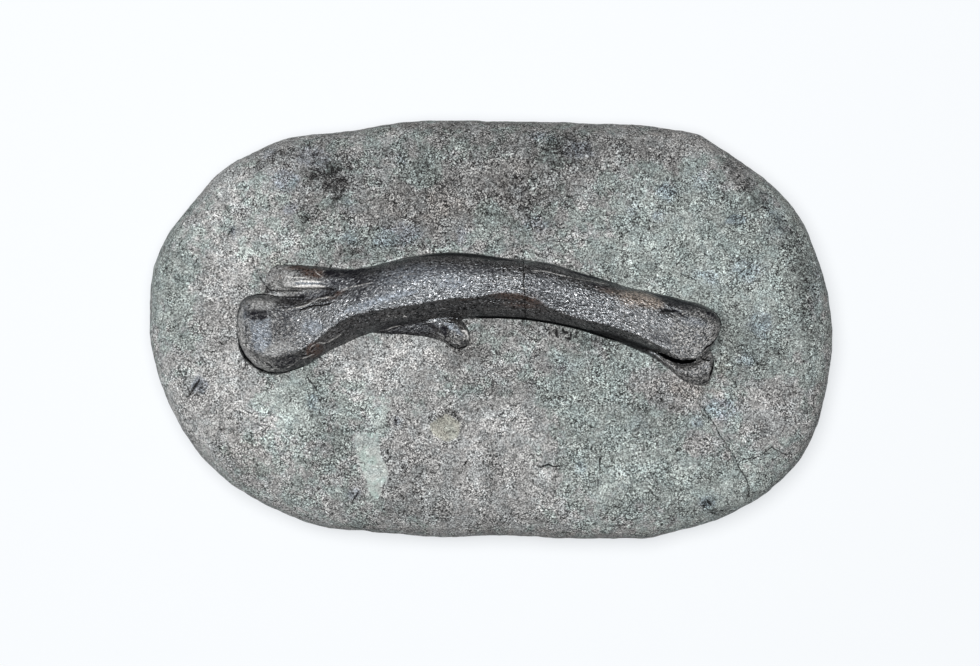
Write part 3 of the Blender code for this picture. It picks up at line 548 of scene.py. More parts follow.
# Little rounded stones that stand out of the face: x, y, radius, rise.
CLASTS: Rows = (
    (56.2, 26.9, 1.9, 0.45), (89.5, 26, 1.8, 0.35), (69.7, 27.1, 1.6, 0.3), (65.7, 69.5, 1.5, 0.35),
    (75.7, 62.5, 1.4, 0.3), (80.2, 72.4, 1.7, 0.3), (26.1, 59.5, 2.4, 0.3), (16.4, 54.7, 1.5, 0.3),
    (98.6, 44, 3.2, 0.35), (71.9, -63.6, 2.6, 0.35), (64.5, -16, 1.4, 0.25), (-25, 60, 1.5, 0.2),
    (84.7, 68.3, 1.3, 0.25), (36, 66.5, 1.4, 0.25), (109.5, -40, 1.6, 0.2),
)

# Soft areas of the rock's face, as mounds that add up: x, y, half widths, the change of tone or of
# the share of green in percent, and the turn if there is one.
ROCK_TONES: Rows = (
    (-15, 60, 58, 24, -18), (-66, 61, 9, 8, -24), (-75, 72, 12, 5, -8, 10), (-73, 48, 8, 6, -8),
    (30, 73, 12, 6, -28), (12, 54, 12, 10, -10), (18, 45, 6, 4, -8), (-20, 48, 14, 5, -6),
    (-45, 63, 7, 7, 4), (-5, 38, 10, 4, 8), (22, 60, 8, 10, -5), (18, 80, 26, 4, -6), (60, 72.5, 9, 4, -12),
    (-18, 80, 20, 4, -4), (72, 58, 6, 8, -9), (90, 62, 5, 6, -5), (-105, 35, 18, 25, 10),
    (-99, 26, 8, 6, 8), (-108, 16, 8, 8, 5), (-90, 37, 9, 5, 6), (-88, -34, 12, 13, 15),
    (-108, -20, 7, 7, 12), (-50, -20, 12, 11, 12), (-34, -9, 13, 6, 12), (-68, -42, 8, 10, -10),
    (-36, -54, 6, 10, -10), (-38, -71, 16, 6, -10, -4), (0, -53.5, 4.5, 7, -13), (3, -38, 10, 8, 10),
    (-12, -8, 7, 6, -15), (6, 0.5, 12, 5, -12), (8, -23, 24, 7, -6), (68, -28, 10, 8, -14),
    (85, -20, 9, 7, -15), (100, -6, 11, 14, -10), (108, 11, 6, 5, 7), (60, -57, 22, 9, 6),
    (98, -47, 8, 7, -4), (78, 38, 22, 10, 6), (82, 18, 16, 8, 4), (85, -73, 12, 5, -9, 15),
    (66, -73, 8, 4, -8), (127, -30, 7, 20, -5), (20, -62, 12, 12, 6), (-105, -54, 14, 6, -8, -40),
    (-15, -33, 6, 3.5, -8, -20), (-9, -44, 5, 6, 8), (-27, -45, 5, 6, 6), (40, -5, 12, 5, -7, -20),
    (-117, -9, 8, 8, 5), (126, 12, 6, 16, -10), (35, 62, 3, 7, -8, -20), (-99, 54, 9, 6, 4),
    (-50, 31, 12, 6, -12), (-58, 38, 7, 7, -7), (-63, 52, 6, 6, -9), (0, 62, 8, 6, -9),
    (15, 74, 12, 7, -10), (68, 69, 12, 5, -9), (104, 48, 6, 7, -8), (118, 25, 6, 8, -5), (34, -2, 9, 4, -9),
    (22, -20, 8, 6, -6), (93, -8, 5, 6, -8), (112, -12, 7, 6, -7), (-20, -36, 6, 4, -7),
    (-20, -76, 30, 5, -8), (10, -75, 10, 5, -7), (-84, 70, 8, 5, -8), (-90, 22, 6, 4, -7),
    (-114, 4, 8, 8, -6), (1, -12, 9, 5, -7), (-127, -28, 9, 14, 10), (-113, -45, 8, 8, 7),
    (-96, -34, 9, 8, 6), (-49, -38, 9, 6, 9), (5, -36, 12, 6, 8), (-42, 60, 7, 8, 6), (38, 55, 6, 12, 6),
    (34, 37, 9, 5, 7), (67, 40, 12, 6, 6), (88, 27, 12, 6, 6), (55, -13, 7, 5, 8), (102, -33, 10, 7, 6),
    (105, -55, 9, 8, 8), (98, -68, 9, 6, 12), (80, -78, 12, 4, 15), (-134, 5, 7, 30, 7),
    (-104, -63, 15, 5, 9, -40), (-62, -78, 18, 4, 9, -8), (50, 75, 9, 5, -6), (77, 68, 8, 5, -5),
    (15, 46, 8, 6, -9), (-60, 29, 7, 5, -6), (-33, 33, 7, 5, -7), (-62, 52, 6, 5, -4), (2, 56, 8, 6, -6),
    (64, -28, 7, 5, -6), (12, -75, 7, 5, -5), (-36, -67, 9, 5, -6), (93, -10, 6, 6, -5), (-5, 37, 8, 5, 5),
    (38, 35, 9, 5, 5), (-108, 58, 9, 7, 7, 40), (-132, -22, 6, 14, 6), (-46, 29, 13, 5, -8, 8),
    (-62, 46, 7, 8, -5), (-60, 35, 6, 6, -5), (-32, 34, 7, 5, -5), (-85, 33, 9, 6, 5),
    (-125, -33, 9, 12, 6), (-88, -42, 12, 9, 6), (-46, -33, 8, 5, 6), (-16, -22, 8, 7, 5),
    (-18, -6, 8, 5, 7), (5, -36, 8, 5, 5), (42, -32, 10, 8, 5), (95, -29, 8, 6, 5), (111, -29, 8, 6, 5),
    (72, 68, 14, 5, -5), (104, 49, 6, 6, -5), (15, 48, 8, 10, -5), (78, 44, 8, 6, 5), (70, 35, 8, 5, 5),
    (15, 28, 6, 4, -5), (55, 22, 8, 4, -5, -16), (98, 20, 6, 6, 5), (-107, -4, 6, 5, -7),
    (-20, -37, 7, 5, -4), (-40, 77, 34, 5, -4), (45, 76, 40, 5, -5), (-22, -77, 28, 5, -4),
    (-95, -28, 16, 8, 3), (-64, -17, 12, 7, 6), (-44, -34, 9, 6, 5), (10, -46, 14, 15, 3),
    (40, 45, 12, 12, 4), (102, 4, 6, 9, 4),
)
ROCK_GREENS: Rows = (
    (85, 25, 42, 38, 32), (110, 5, 22, 30, 12), (55, -50, 30, 22, 32), (95, -66, 22, 12, 30),
    (40, -25, 16, 12, 30), (72, -24, 13, 6.5, -80, -10), (84, -47, 6, 6, -50), (113, -31, 9, 8, -65),
    (-2, -62, 22, 16, -40), (-18, -45, 20, 10, -35), (-36, -52, 6, 16, -30), (0, -54, 4, 7, 35),
    (-30, 48, 18, 9, -42), (-8, 57, 12, 6, -35), (9, 56, 8, 8, -25), (-27, 64, 8, 6, 45), (0, 46, 6, 7, 45),
    (-38, -12, 20, 9, -38), (-104, -12, 9, 30, -38), (-108, 15, 8, 14, -36), (-120, -33, 10, 14, -30),
    (-130, 20, 9, 20, 25), (-77, -27, 10, 8, 25), (-72, -37, 7, 7, 25), (-80, -5, 50, 60, 8),
    (-45, 36, 12, 5, 25), (-108, 63, 7, 5, -20), (-88, 73, 8, 5, -25), (-45, -38, 6, 6, 20),
    (10, -38, 16, 10, -25), (85, 79, 16, 6, -50), (60, 73, 20, 5, -30), (36, 62, 5, 6, -30),
    (101, 63, 6, 7, -35), (-58, -10, 8, 6, -30),
)

ROCK_PAINT: dict[RockMark, tuple[Shape, ...]] = {
    # Dark patches of the rock, and painted shade: along the bone's back edge, in the hollow at the upper
    # left and on the rim at the top and the right.
    RockMark.DARK: (
        Stroke(((16, 1.6), (30, -1.3), (38, -3.2), (46, -5.2), (54, -8)), 2, 0.6),
        Stroke(((-77, 62.6), (-70.7, 61.6), (-64, 62.8), (-58, 66)), 3.2, 0.62),
        Stroke(((-78.5, 46.8), (-72.1, 44.3), (-68, 43.4)), 1.8, 0.9),
        Stroke(((-98, 62), (-90, 68.5), (-82, 72.5), (-68, 76.5)), 5, 0.55),
        Stroke(((-23.8, -38.7), (-22.1, -35.5), (-18.9, -33.5), (-15, -33.1), (-12.4, -36.1),
                (-12.1, -40.7), (-13.4, -44.5), (-16.9, -47), (-20.8, -46.4)), 2, 0.6),
        Stroke(((90, 72), (98, 66), (106, 56), (113, 47)), 8, 0.75),
        Stroke(((110, 50), (118, 40), (125, 27), (127, 12), (129, -4), (128, -16)), 8, 0.6),
        *blots(
            (-61.5, 56, 3, 5.6, 0, 0.6), (30, 75.5, 9, 3, 0, 0.34, 0.7), (105, 51, 2.4, 6, 28, 0.5, 0.5),
            (121.4, 32, 2, 3.4, 0, 0.5), (-12, -6, 8, 3.2, -20, 0.35), (-71, -30, 3, 4, 20, 0.4, 0.7),
            (-68, -46.6, 6, 2.4, -8, 0.4, 0.7), (-38.5, -36.6, 1.4, 2.2, 0, 1, 0.5),
            (-117, -22.4, 2.4, 3, 0, 0.6), (-43.2, -72.6, 1.6, 0.8, 0, 0.8, 0.5),
            (-90.7, 48.6, 1.2, 0.7, -10, 1, 0.4), (-107.5, 49, 0.9, 2.6, -14, 0.6),
            (-104.4, 38.5, 1.4, 2.8, -20, 0.75, 0.5), (87.2, -69.7, 2.4, 1.7, 30, 1, 0.5),
            (89.6, -73.8, 2, 1, 10, 0.9, 0.5), (-0.4, -62.3, 1.9, 2.4, 0, 0.6),
            (26.1, -59.5, 1.7, 0.9, 20, 0.8, 0.5), (36.3, -55.3, 1.7, 1, 10, 0.7, 0.5),
            (48.8, -52.1, 0.9, 1.2, 0, 0.8, 0.5), (71, -57, 1.3, 1, 0, 0.6, 0.5),
            (27, -1.6, 1.6, 1.1, 0, 0.95, 0.5), (31.4, -3.2, 1.2, 0.9, 0, 0.9, 0.5),
            (22, 0.6, 1.5, 0.9, 0, 0.8, 0.5), (12.5, 2, 1.6, 0.8, 0, 0.8, 0.5),
            (58.5, 18.9, 2.4, 0.9, -15, 0.9, 0.5),
        ),
    ),
    RockMark.PALE: (
        Patch(((-57, -8.6), (-38, -4), (-20, -3.6), (-20.4, -10), (-23, -17.4), (-33, -19), (-40, -24),
                (-48, -21), (-54, -26), (-59, -19)), 0.35, 1.2),
        Stroke(((-52.8, 25.6), (-44.8, 27.6), (-34.7, 30.2)), 1.1, 0.9),
        Stroke(((-44.8, 32), (-24, 32.6), (-4.4, 31.9)), 0.9, 0.7),
        Stroke(((-44.4, 75.3), (-39, 78), (-33.9, 80.5)), 0.8, 0.8),
        Stroke(((-123.3, 20), (-121, 17), (-119.4, 13.8)), 0.9, 0.9),
        *blots(
            (-46, -34.6, 3.8, 3.6, 0, 0.75, 0.4), (95.6, -14.4, 1.3, 0.9, 0, 0.9, 0.5),
            (79.8, -30.8, 2.6, 1, -6, 0.75), (24, 27.8, 5, 1.1, -8, 0.7),
        ),
    ),
    RockMark.SCAR: (
        Patch(((-55.3, -42.7), (-52, -41.6), (-45.7, -41.4), (-45.4, -46), (-44.8, -50.1), (-43, -53.6),
                (-41.3, -58), (-42.2, -61.5), (-44.6, -63.4), (-44.2, -66.8), (-46.5, -68.5), (-49, -65.6),
                (-50, -61), (-52.2, -57.1), (-53.6, -51.9), (-54.6, -47)), 1, 0.6),
    ),
    RockMark.BLUE: blots(
        (-83, 60.4, 6, 4.6, -20, 0.85), (-72, 69, 8, 5, 0, 0.6), (-37, 37.6, 10, 4.4, 10, 0.85),
        (-56.5, 36.4, 4, 3, 0, 0.6), (-81, 49, 3, 3, 0, 0.6), (-57.4, 50, 2.4, 3.6, 0, 0.5),
        (-12, 38, 2.4, 4, 0, 0.65), (19, 42, 6, 3, 0, 0.55), (36, 72.4, 6, 3.4, 0, 0.75),
        (20, 78.6, 6, 2, 0, 0.6), (12, 58, 3, 5, 0, 0.3), (70.5, 55.6, 4, 4, 0, 0.8),
        (68, 45.6, 2.4, 2.4, 0, 0.7), (86, 60, 8, 5, 0, 0.4, 0.7), (57, 50, 3, 8, 0, 0.4, 0.7),
        (103, 24, 7, 5, 0, 0.55, 0.7), (88, 21, 5, 4, 0, 0.55, 0.7), (108, 2, 5, 6, 0, 0.75),
        (103, -12.6, 3.6, 3, 0, 0.6), (115, 44, 4, 9, 20, 0.45, 0.7), (98.6, 44, 4.4, 1.6, 4, 0.9, 0.4),
        (93, -32, 6, 4.6, 0, 0.8), (83, -37, 2.4, 2.4, 0, 0.7), (87, -70, 3, 2.6, 0, 0.9),
        (36, -55.6, 2.6, 2.6, 0, 0.6), (59, -38, 4, 3, 0, 0.35, 0.7), (-117.6, -22.4, 3, 3.4),
        (-71, -29.6, 3, 4, 20, 0.6), (-55, -66.4, 2.6, 3, 0, 0.6), (-38, -36.4, 2.4, 2.4, 0, 0.6),
        (-104, 38.6, 1.6, 3, 0, 0.6), (-36, 68.4, 2.6, 3, 0, 0.5), (132, 18, 3, 10, 0, 0.4, 0.7),
        (28, -14, 6, 4, 0, 0.35, 0.7), (52, -28, 4, 4, 0, 0.3, 0.7), (-90, 71, 4, 2.4, 30, 0.45, 0.7),
    ),
    RockMark.BROWN: blots(
        (-24, 50, 20, 9, 0, 0.45, 0.7), (10, 60, 12, 10, 0, 0.35, 0.7), (-75, 48, 7, 6, 0, 0.35, 0.7),
        (-86, 26.5, 10, 3.4, 6, 0.45, 0.7), (82, -24.5, 13, 4.5, -10, 0.6, 0.7),
        (95, -12, 4, 9, -12, 0.5, 0.7), (-14, -7, 9, 5, 0, 0.4, 0.7), (-100, -50, 14, 6, -40, 0.35, 0.7),
    ),
    RockMark.NODULE: blots(
        (-18.6, -39.7, 5.8, 5.2, 0, 1, 0.3),
    ),
    RockMark.SHINE: (
        Stroke(((-55, 24.6), (-48.8, 25.7), (-42.8, 27.2), (-39.2, 27.9), (-35.1, 29.4)), 0.8),
        Stroke(((-30, 31.4), (-18, 32.4), (-8, 31.9)), 0.6, 0.7),
        Stroke(((-44.4, 75.3), (-39, 78), (-33.9, 80.5)), 0.7, 0.6),
        Stroke(((-41, 79.6), (-36, 81.8)), 0.6, 0.5),
        Stroke(((-123.3, 20), (-121, 17), (-119.4, 13.8)), 0.8, 0.9),
        Stroke(((19, 28.9), (24, 28.2), (29, 26.6)), 0.7, 0.7),
        Stroke(((-97, -16.2), (-92, -19.2)), 0.6, 0.6),
        *blots(
            (95.6, -14.4, 1, 0.7, 0, 1, 0.5), (79.8, -30.8, 2.2, 0.7, -6, 0.8),
            (61, -19.6, 0.8, 0.6, 0, 0.8), (-8, 64.5, 0.8, 0.8, 0, 1, 0.5),
            (38, -9, 1.2, 0.6, 30, 0.7, 0.5), (56, 27, 1.6, 1.5, 0, 0.55, 0.3),
        ),
    ),
}


# How each painted mark breaks up: the size of its rags, and how crisp its edge is from 0 to 1.
BONE_EDGES: dict[BoneMark, Point] = {
    BoneMark.TAN: (1.5, 0), BoneMark.SMUDGE: (1.2, 0), BoneMark.STAIN: (1, 0), BoneMark.MATTE: (1.8, 0),
    BoneMark.POLISH: (1.4, 0), BoneMark.DUST: (1.2, 0), BoneMark.SEAM: (0.7, 0.4),
}
ROCK_EDGES: dict[RockMark, Point] = {
    RockMark.TONE: (3, 0), RockMark.DARK: (2.6, 0.15), RockMark.PALE: (3, 0.4), RockMark.SCAR: (1, 0.8),
    RockMark.GREEN: (7, 0.7), RockMark.BLUE: (2.6, 0.3), RockMark.BROWN: (5, 0.3),
    RockMark.NODULE: (1, 0.7), RockMark.SHINE: (0.8, 0.5),
}

# How far a painted mark lightens the rock's tone, or darkens it below 0.
ROCK_LIGHTS: dict[RockMark, float] = {
    RockMark.TONE: 1, RockMark.DARK: -0.34, RockMark.PALE: 0.13, RockMark.SCAR: 0.2,
    RockMark.SHINE: 0.34,
}


def deselect_all() -> None:
    """Leave nothing selected."""
    bpy.ops.object.select_all(action='DESELECT')


def pick(*pieces: Object) -> None:
    """Select only these pieces, and make the first one active."""
    deselect_all()
    for piece in pieces:
        piece.select_set(True)
    bpy.context.view_layer.objects.active = pieces[0]


def read_vectors(mesh: Mesh, what: str) -> Array:
    """Read one vector of each vertex.

    Args:
        mesh: the mesh.
        what: co for the place or normal for the normal.

    Returns:
        An array with a row for each vertex.
    """
    values = np.empty(len(mesh.vertices) * 3, dtype=np.float32)
    mesh.vertices.foreach_get(what, values)
    return values.reshape(-1, 3).astype(float)


def read_places(piece: Object) -> Array:
    """Read the places of a piece's vertices in millimetres."""
    return read_vectors(piece.data, "co") / MM


def write_places(piece: Object, places: Array) -> None:
    """Move a piece's vertices to places in millimetres."""
    piece.data.vertices.foreach_set("co", (places * MM).astype(np.float32).ravel())
    piece.data.update()


def paint(piece: Object, name: str, values: Array) -> None:
    """Store one number for each vertex as a named attribute."""
    layer = piece.data.attributes.new(name, 'FLOAT', 'POINT')
    layer.data.foreach_set("value", values.astype(np.float32))


def dress_in(piece: Object, material: Material) -> None:
    """Give all of a piece one material, and drop the empty slots that a Boolean leaves."""
    piece.data.materials.clear()
    piece.data.materials.append(material)
    piece.data.polygons.foreach_set("material_index", [0] * len(piece.data.polygons))


def apply_modifier(piece: Object, kind: str, **settings: object) -> None:
    """Add a modifier to a piece and apply it.

    Args:
        piece: the piece.
        kind: the modifier's type.
        settings: its properties by name.
    """
    pick(piece)
    modifier = piece.modifiers.new(kind.lower(), kind)
    for name, value in settings.items():
        setattr(modifier, name, value)
    bpy.ops.object.modifier_apply(modifier=modifier.name)


def face_middles(piece: Object) -> Array:
    """Read the middles of a piece's faces in millimetres."""
    values = np.empty(len(piece.data.polygons) * 3, dtype=np.float32)
    piece.data.polygons.foreach_get("center", values)
    return values.reshape(-1, 3).astype(float) / MM


def select_faces(piece: Object, wanted: Array) -> None:
    """Open a piece for editing with only the wanted faces selected."""
    pick(piece)
    bpy.ops.object.mode_set(mode='EDIT')
    bpy.ops.mesh.select_mode(type='FACE')
    bpy.ops.mesh.select_all(action='DESELECT')
    bpy.ops.object.mode_set(mode='OBJECT')
    piece.data.polygons.foreach_set("select", wanted)
    bpy.ops.object.mode_set(mode='EDIT')


def refine(piece: Object, wanted: Array, cuts: int) -> None:
    """Subdivide the wanted faces of a piece."""
    select_faces(piece, wanted)
    bpy.ops.mesh.subdivide(number_cuts=cuts)
    bpy.ops.object.mode_set(mode='OBJECT')


def noise_at(points: Array, size: float, shift: float = 0.0) -> Array:
    """Read smooth noise at points.

    Args:
        points: places in millimetres.
        size: size of the lumps.
        shift: moves the pattern, so that two readings differ.

    Returns:
        About -1 to 1 for each point.
    """
    return np.array([noise.noise(point) for point in (points / size + shift).tolist()])


def layered_noise(points: Array, rows: Rows) -> Array:
    """Add up noise at points, in layers that each have a size, a shift and a height."""
    return sum(height * noise_at(points, size, shift) for size, shift, height in rows)


def wander(points: Array, size: float, reach: float) -> Array:
    """Give the plan of points, each moved a little, so that marks get uneven edges."""
    moved = np.column_stack([noise_at(points, size, shift) for shift in WANDER_SHIFTS])
    return points[:, :2] + reach * moved


def strongest(shapes: tuple[Shape, ...], plan: Array) -> Array:
    """Give the strongest cover of several shapes at each point."""
    covered = np.zeros(len(plan))
    for shape in shapes:
        covered = np.maximum(covered, shape.cover(plan))
    return covered


def mounds(rows: Rows, plan: Array) -> Array:
    """Add up smooth mounds at points in the plan.

    Args:
        rows: x, y, the two half widths, the height and, if any, the turn of each mound.
        plan: x and y of each point.

    Returns:
        The height at each point.
    """
    height = np.zeros(len(plan))
    for x, y, half_x, half_y, rise, *turn in rows:
        along, across = turned(plan, x, y, *turn)
        height += rise * np.exp(-((along / half_x) ** 2 + (across / half_y) ** 2))
    return height


def between(near: list[Array], part: Array) -> Array:
    """Read a smooth curve part of the way from the second of four neighbours to the third."""
    before, start, end, after = near
    return 0.5 * (
        2.0 * start
        + (end - before) * part
        + (2.0 * before - 5.0 * start + 4.0 * end - after) * part ** 2
        + (3.0 * start - before - 3.0 * end + after) * part ** 3
    )


def smooth_rows(rows: Rows, places: Array) -> Array:
    """Read a smooth curve through rows of numbers at fractional row places."""
    table = np.asarray(rows, dtype=float)
    last = len(table) - 1
    base = np.clip(np.floor(places).astype(int), 0, last - 1)
    near = [table[np.clip(base + step, 0, last)] for step in (-1, 0, 1, 2)]
    return between(near, (places - base)[:, None])


def smooth_loop(points: Array, places: Array) -> Array:
    """Read a closed smooth curve through points at fractional places."""
    base = np.floor(places).astype(int)
    near = [points[(base + step) % len(points)] for step in (-1, 0, 1, 2)]
    return between(near, (places - base)[:, None])


def stack_rings(name: str, rings: Array) -> Object:
    """Model a closed form: a disc is extruded once for each ring, and the rings are then shaped.

    Args:
        name: name of the piece.
        rings: places in millimetres, by ring and by side.

    Returns:
        The new object.
    """
    count, sides = rings.shape[:2]
    deselect_all()
    bpy.ops.mesh.primitive_circle_add(vertices=sides, radius=MM, fill_type='NGON')
    piece = bpy.context.object
    piece.name = name
    bpy.ops.object.mode_set(mode='EDIT')
    bpy.ops.mesh.select_all(action='SELECT')
    for _ in range(count - 1):
        bpy.ops.mesh.extrude_region_move(TRANSFORM_OT_translate={"value": (0.0, 0.0, MM)})
    bpy.ops.object.mode_set(mode='OBJECT')
    places = read_places(piece)
    level = np.rint(places[:, 2]).astype(int)
    side = np.rint(np.arctan2(places[:, 1], places[:, 0]) * sides / FULL_TURN).astype(int) % sides
    write_places(piece, rings[level, side])
    bpy.ops.object.mode_set(mode='EDIT')
    bpy.ops.mesh.select_all(action='SELECT')
    bpy.ops.mesh.normals_make_consistent(inside=False)
    bpy.ops.object.mode_set(mode='OBJECT')
    return piece


def add_node(tree: NodeTree, kind: str, inputs: dict | None = None, **settings: object) -> Node:
    """Add a node to a tree.

    Args:
        tree: the tree.
        kind: the node's type.
        inputs: by socket, a value or the output that feeds it.
        settings: the node's own properties.

    Returns:
        The new node.
    """
    made = tree.nodes.new(kind)
    for name, value in settings.items():
        setattr(made, name, value)
    for key, value in (inputs or {}).items():
        if isinstance(value, NodeSocket):
            tree.links.new(value, made.inputs[key])
        else:
            made.inputs[key].default_value = value
    return made


def work_out(tree: NodeTree, operation: str, first: object, second: object = 0.0) -> NodeSocket:
    """Add a maths node and give its result."""
    return add_node(tree, "ShaderNodeMath", {0: first, 1: second}, operation=operation).outputs[0]


def multiply(tree: NodeTree, first: object, second: object) -> NodeSocket:
    """Add a product of two numbers or outputs and give its result."""
    return work_out(tree, 'MULTIPLY', first, second)


def larger(tree: NodeTree, first: object, second: object) -> NodeSocket:
    """Add a choice of the larger of two numbers or outputs and give its result."""
    return work_out(tree, 'MAXIMUM', first, second)


def add_up(tree: NodeTree, values: list[NodeSocket]) -> NodeSocket:
    """Add several outputs together.

    Args:
        tree: the tree.
        values: the outputs.

    Returns:
        Their sum.
    """
    total = values[0]
    for value in values[1:]:
        total = work_out(tree, 'ADD', total, value)
    return total


def blend_colours(tree: NodeTree, share: object, first: object, second: object) -> NodeSocket:
    """Mix two colours.

    Args:
        tree: the tree.
        share: how much of the second colour shows, as a number or an output.
        first: a colour or an output.
        second: a colour or an output.

    Returns:
        The mixed colour.
    """
    first, second = (
        value if isinstance(value, NodeSocket) else (*value, 1.0) for value in (first, second))
    return add_node(tree, "ShaderNodeMix", {0: share, 6: first, 7: second}, data_type='RGBA').outputs[2]


def blend_values(tree: NodeTree, share: object, first: object, second: object) -> NodeSocket:
    """Add a mix of two numbers or outputs and give its result."""
    return add_node(tree, "ShaderNodeMix", {0: share, 2: first, 3: second}, data_type='FLOAT').outputs[0]


def fit_range(tree: NodeTree, value: NodeSocket, low: object, high: object,
              to_low: float = 0.0, to_high: float = 1.0) -> NodeSocket:
    """Add a smooth, held change of range and give its result."""
    inputs = {0: value, 1: low, 2: high, 3: to_low, 4: to_high}
    return add_node(tree, "ShaderNodeMapRange", inputs, interpolation_type='SMOOTHSTEP').outputs[0]


def times(tree: NodeTree, colour: NodeSocket, amount: object) -> NodeSocket:
    """Multiply a colour by a number, a colour or an output."""
    return add_node(tree, "ShaderNodeVectorMath", {0: colour, 1: amount}, operation='MULTIPLY').outputs[0]


def tinted(tree: NodeTree, colour: NodeSocket, mask: NodeSocket, tint: Colour) -> NodeSocket:
    """Multiply a colour by a tint where a mask shows."""
    return times(tree, colour, blend_colours(tree, mask, WHITE, tint))


def add_noise(tree: NodeTree, vector: NodeSocket, scale: float, detail: float,
              roughness: float = 0.5) -> Node:
    """Add a noise texture that reads the given coordinates."""
    return add_node(tree, "ShaderNodeTexNoise", {
        "Vector": vector, "Scale": scale, "Detail": detail, "Roughness": roughness})


def shrunk(tree: NodeTree, vector: NodeSocket, shrink: Place) -> NodeSocket:
    """Multiply coordinates by one number for each axis."""
    made = add_node(tree, "ShaderNodeMapping", {"Vector": vector, "Scale": shrink})
    return made.outputs[0]


def in_millimetres(tree: NodeTree) -> NodeSocket:
    """Give the object's own coordinates in millimetres."""
    coordinates = add_node(tree, "ShaderNodeTexCoord")
    return shrunk(tree, coordinates.outputs["Object"], (1.0 / MM, 1.0 / MM, 1.0 / MM))


def read_mark(tree: NodeTree, mark: Enum) -> NodeSocket:
    """Add a node that reads a painted mark and give its value."""
    return add_node(tree, "ShaderNodeAttribute", attribute_name=mark.value).outputs["Fac"]


def new_material(name: str) -> tuple[Material, NodeTree, Node]:
    """Start a material, and give it with its tree and its Principled shader."""
    material = bpy.data.materials.new(name)
    material.use_nodes = True
    return material, material.node_tree, material.node_tree.nodes["Principled BSDF"]


def new_group(name: str, numbers: dict[str, float], outputs: tuple[str, ...]) -> tuple:
    """Start a shader node group that reads coordinates and numbers.

    Args:
        name: the group's name.
        numbers: its number inputs, with their defaults.
        outputs: names of its value outputs.

    Returns:
        The group's tree, the sockets that its inputs arrive at, and those that its outputs leave by.
    """
    tree = bpy.data.node_groups.new(name, "ShaderNodeTree")
    tree.interface.new_socket("Vector", in_out='INPUT', socket_type="NodeSocketVector")
    for label, default in numbers.items():
        socket = tree.interface.new_socket(label, in_out='INPUT', socket_type="NodeSocketFloat")
        socket.default_value = default
    for label in outputs:
        tree.interface.new_socket(label, in_out='OUTPUT', socket_type="NodeSocketFloat")
    return tree, tree.nodes.new("NodeGroupInput").outputs, tree.nodes.new("NodeGroupOutput").inputs


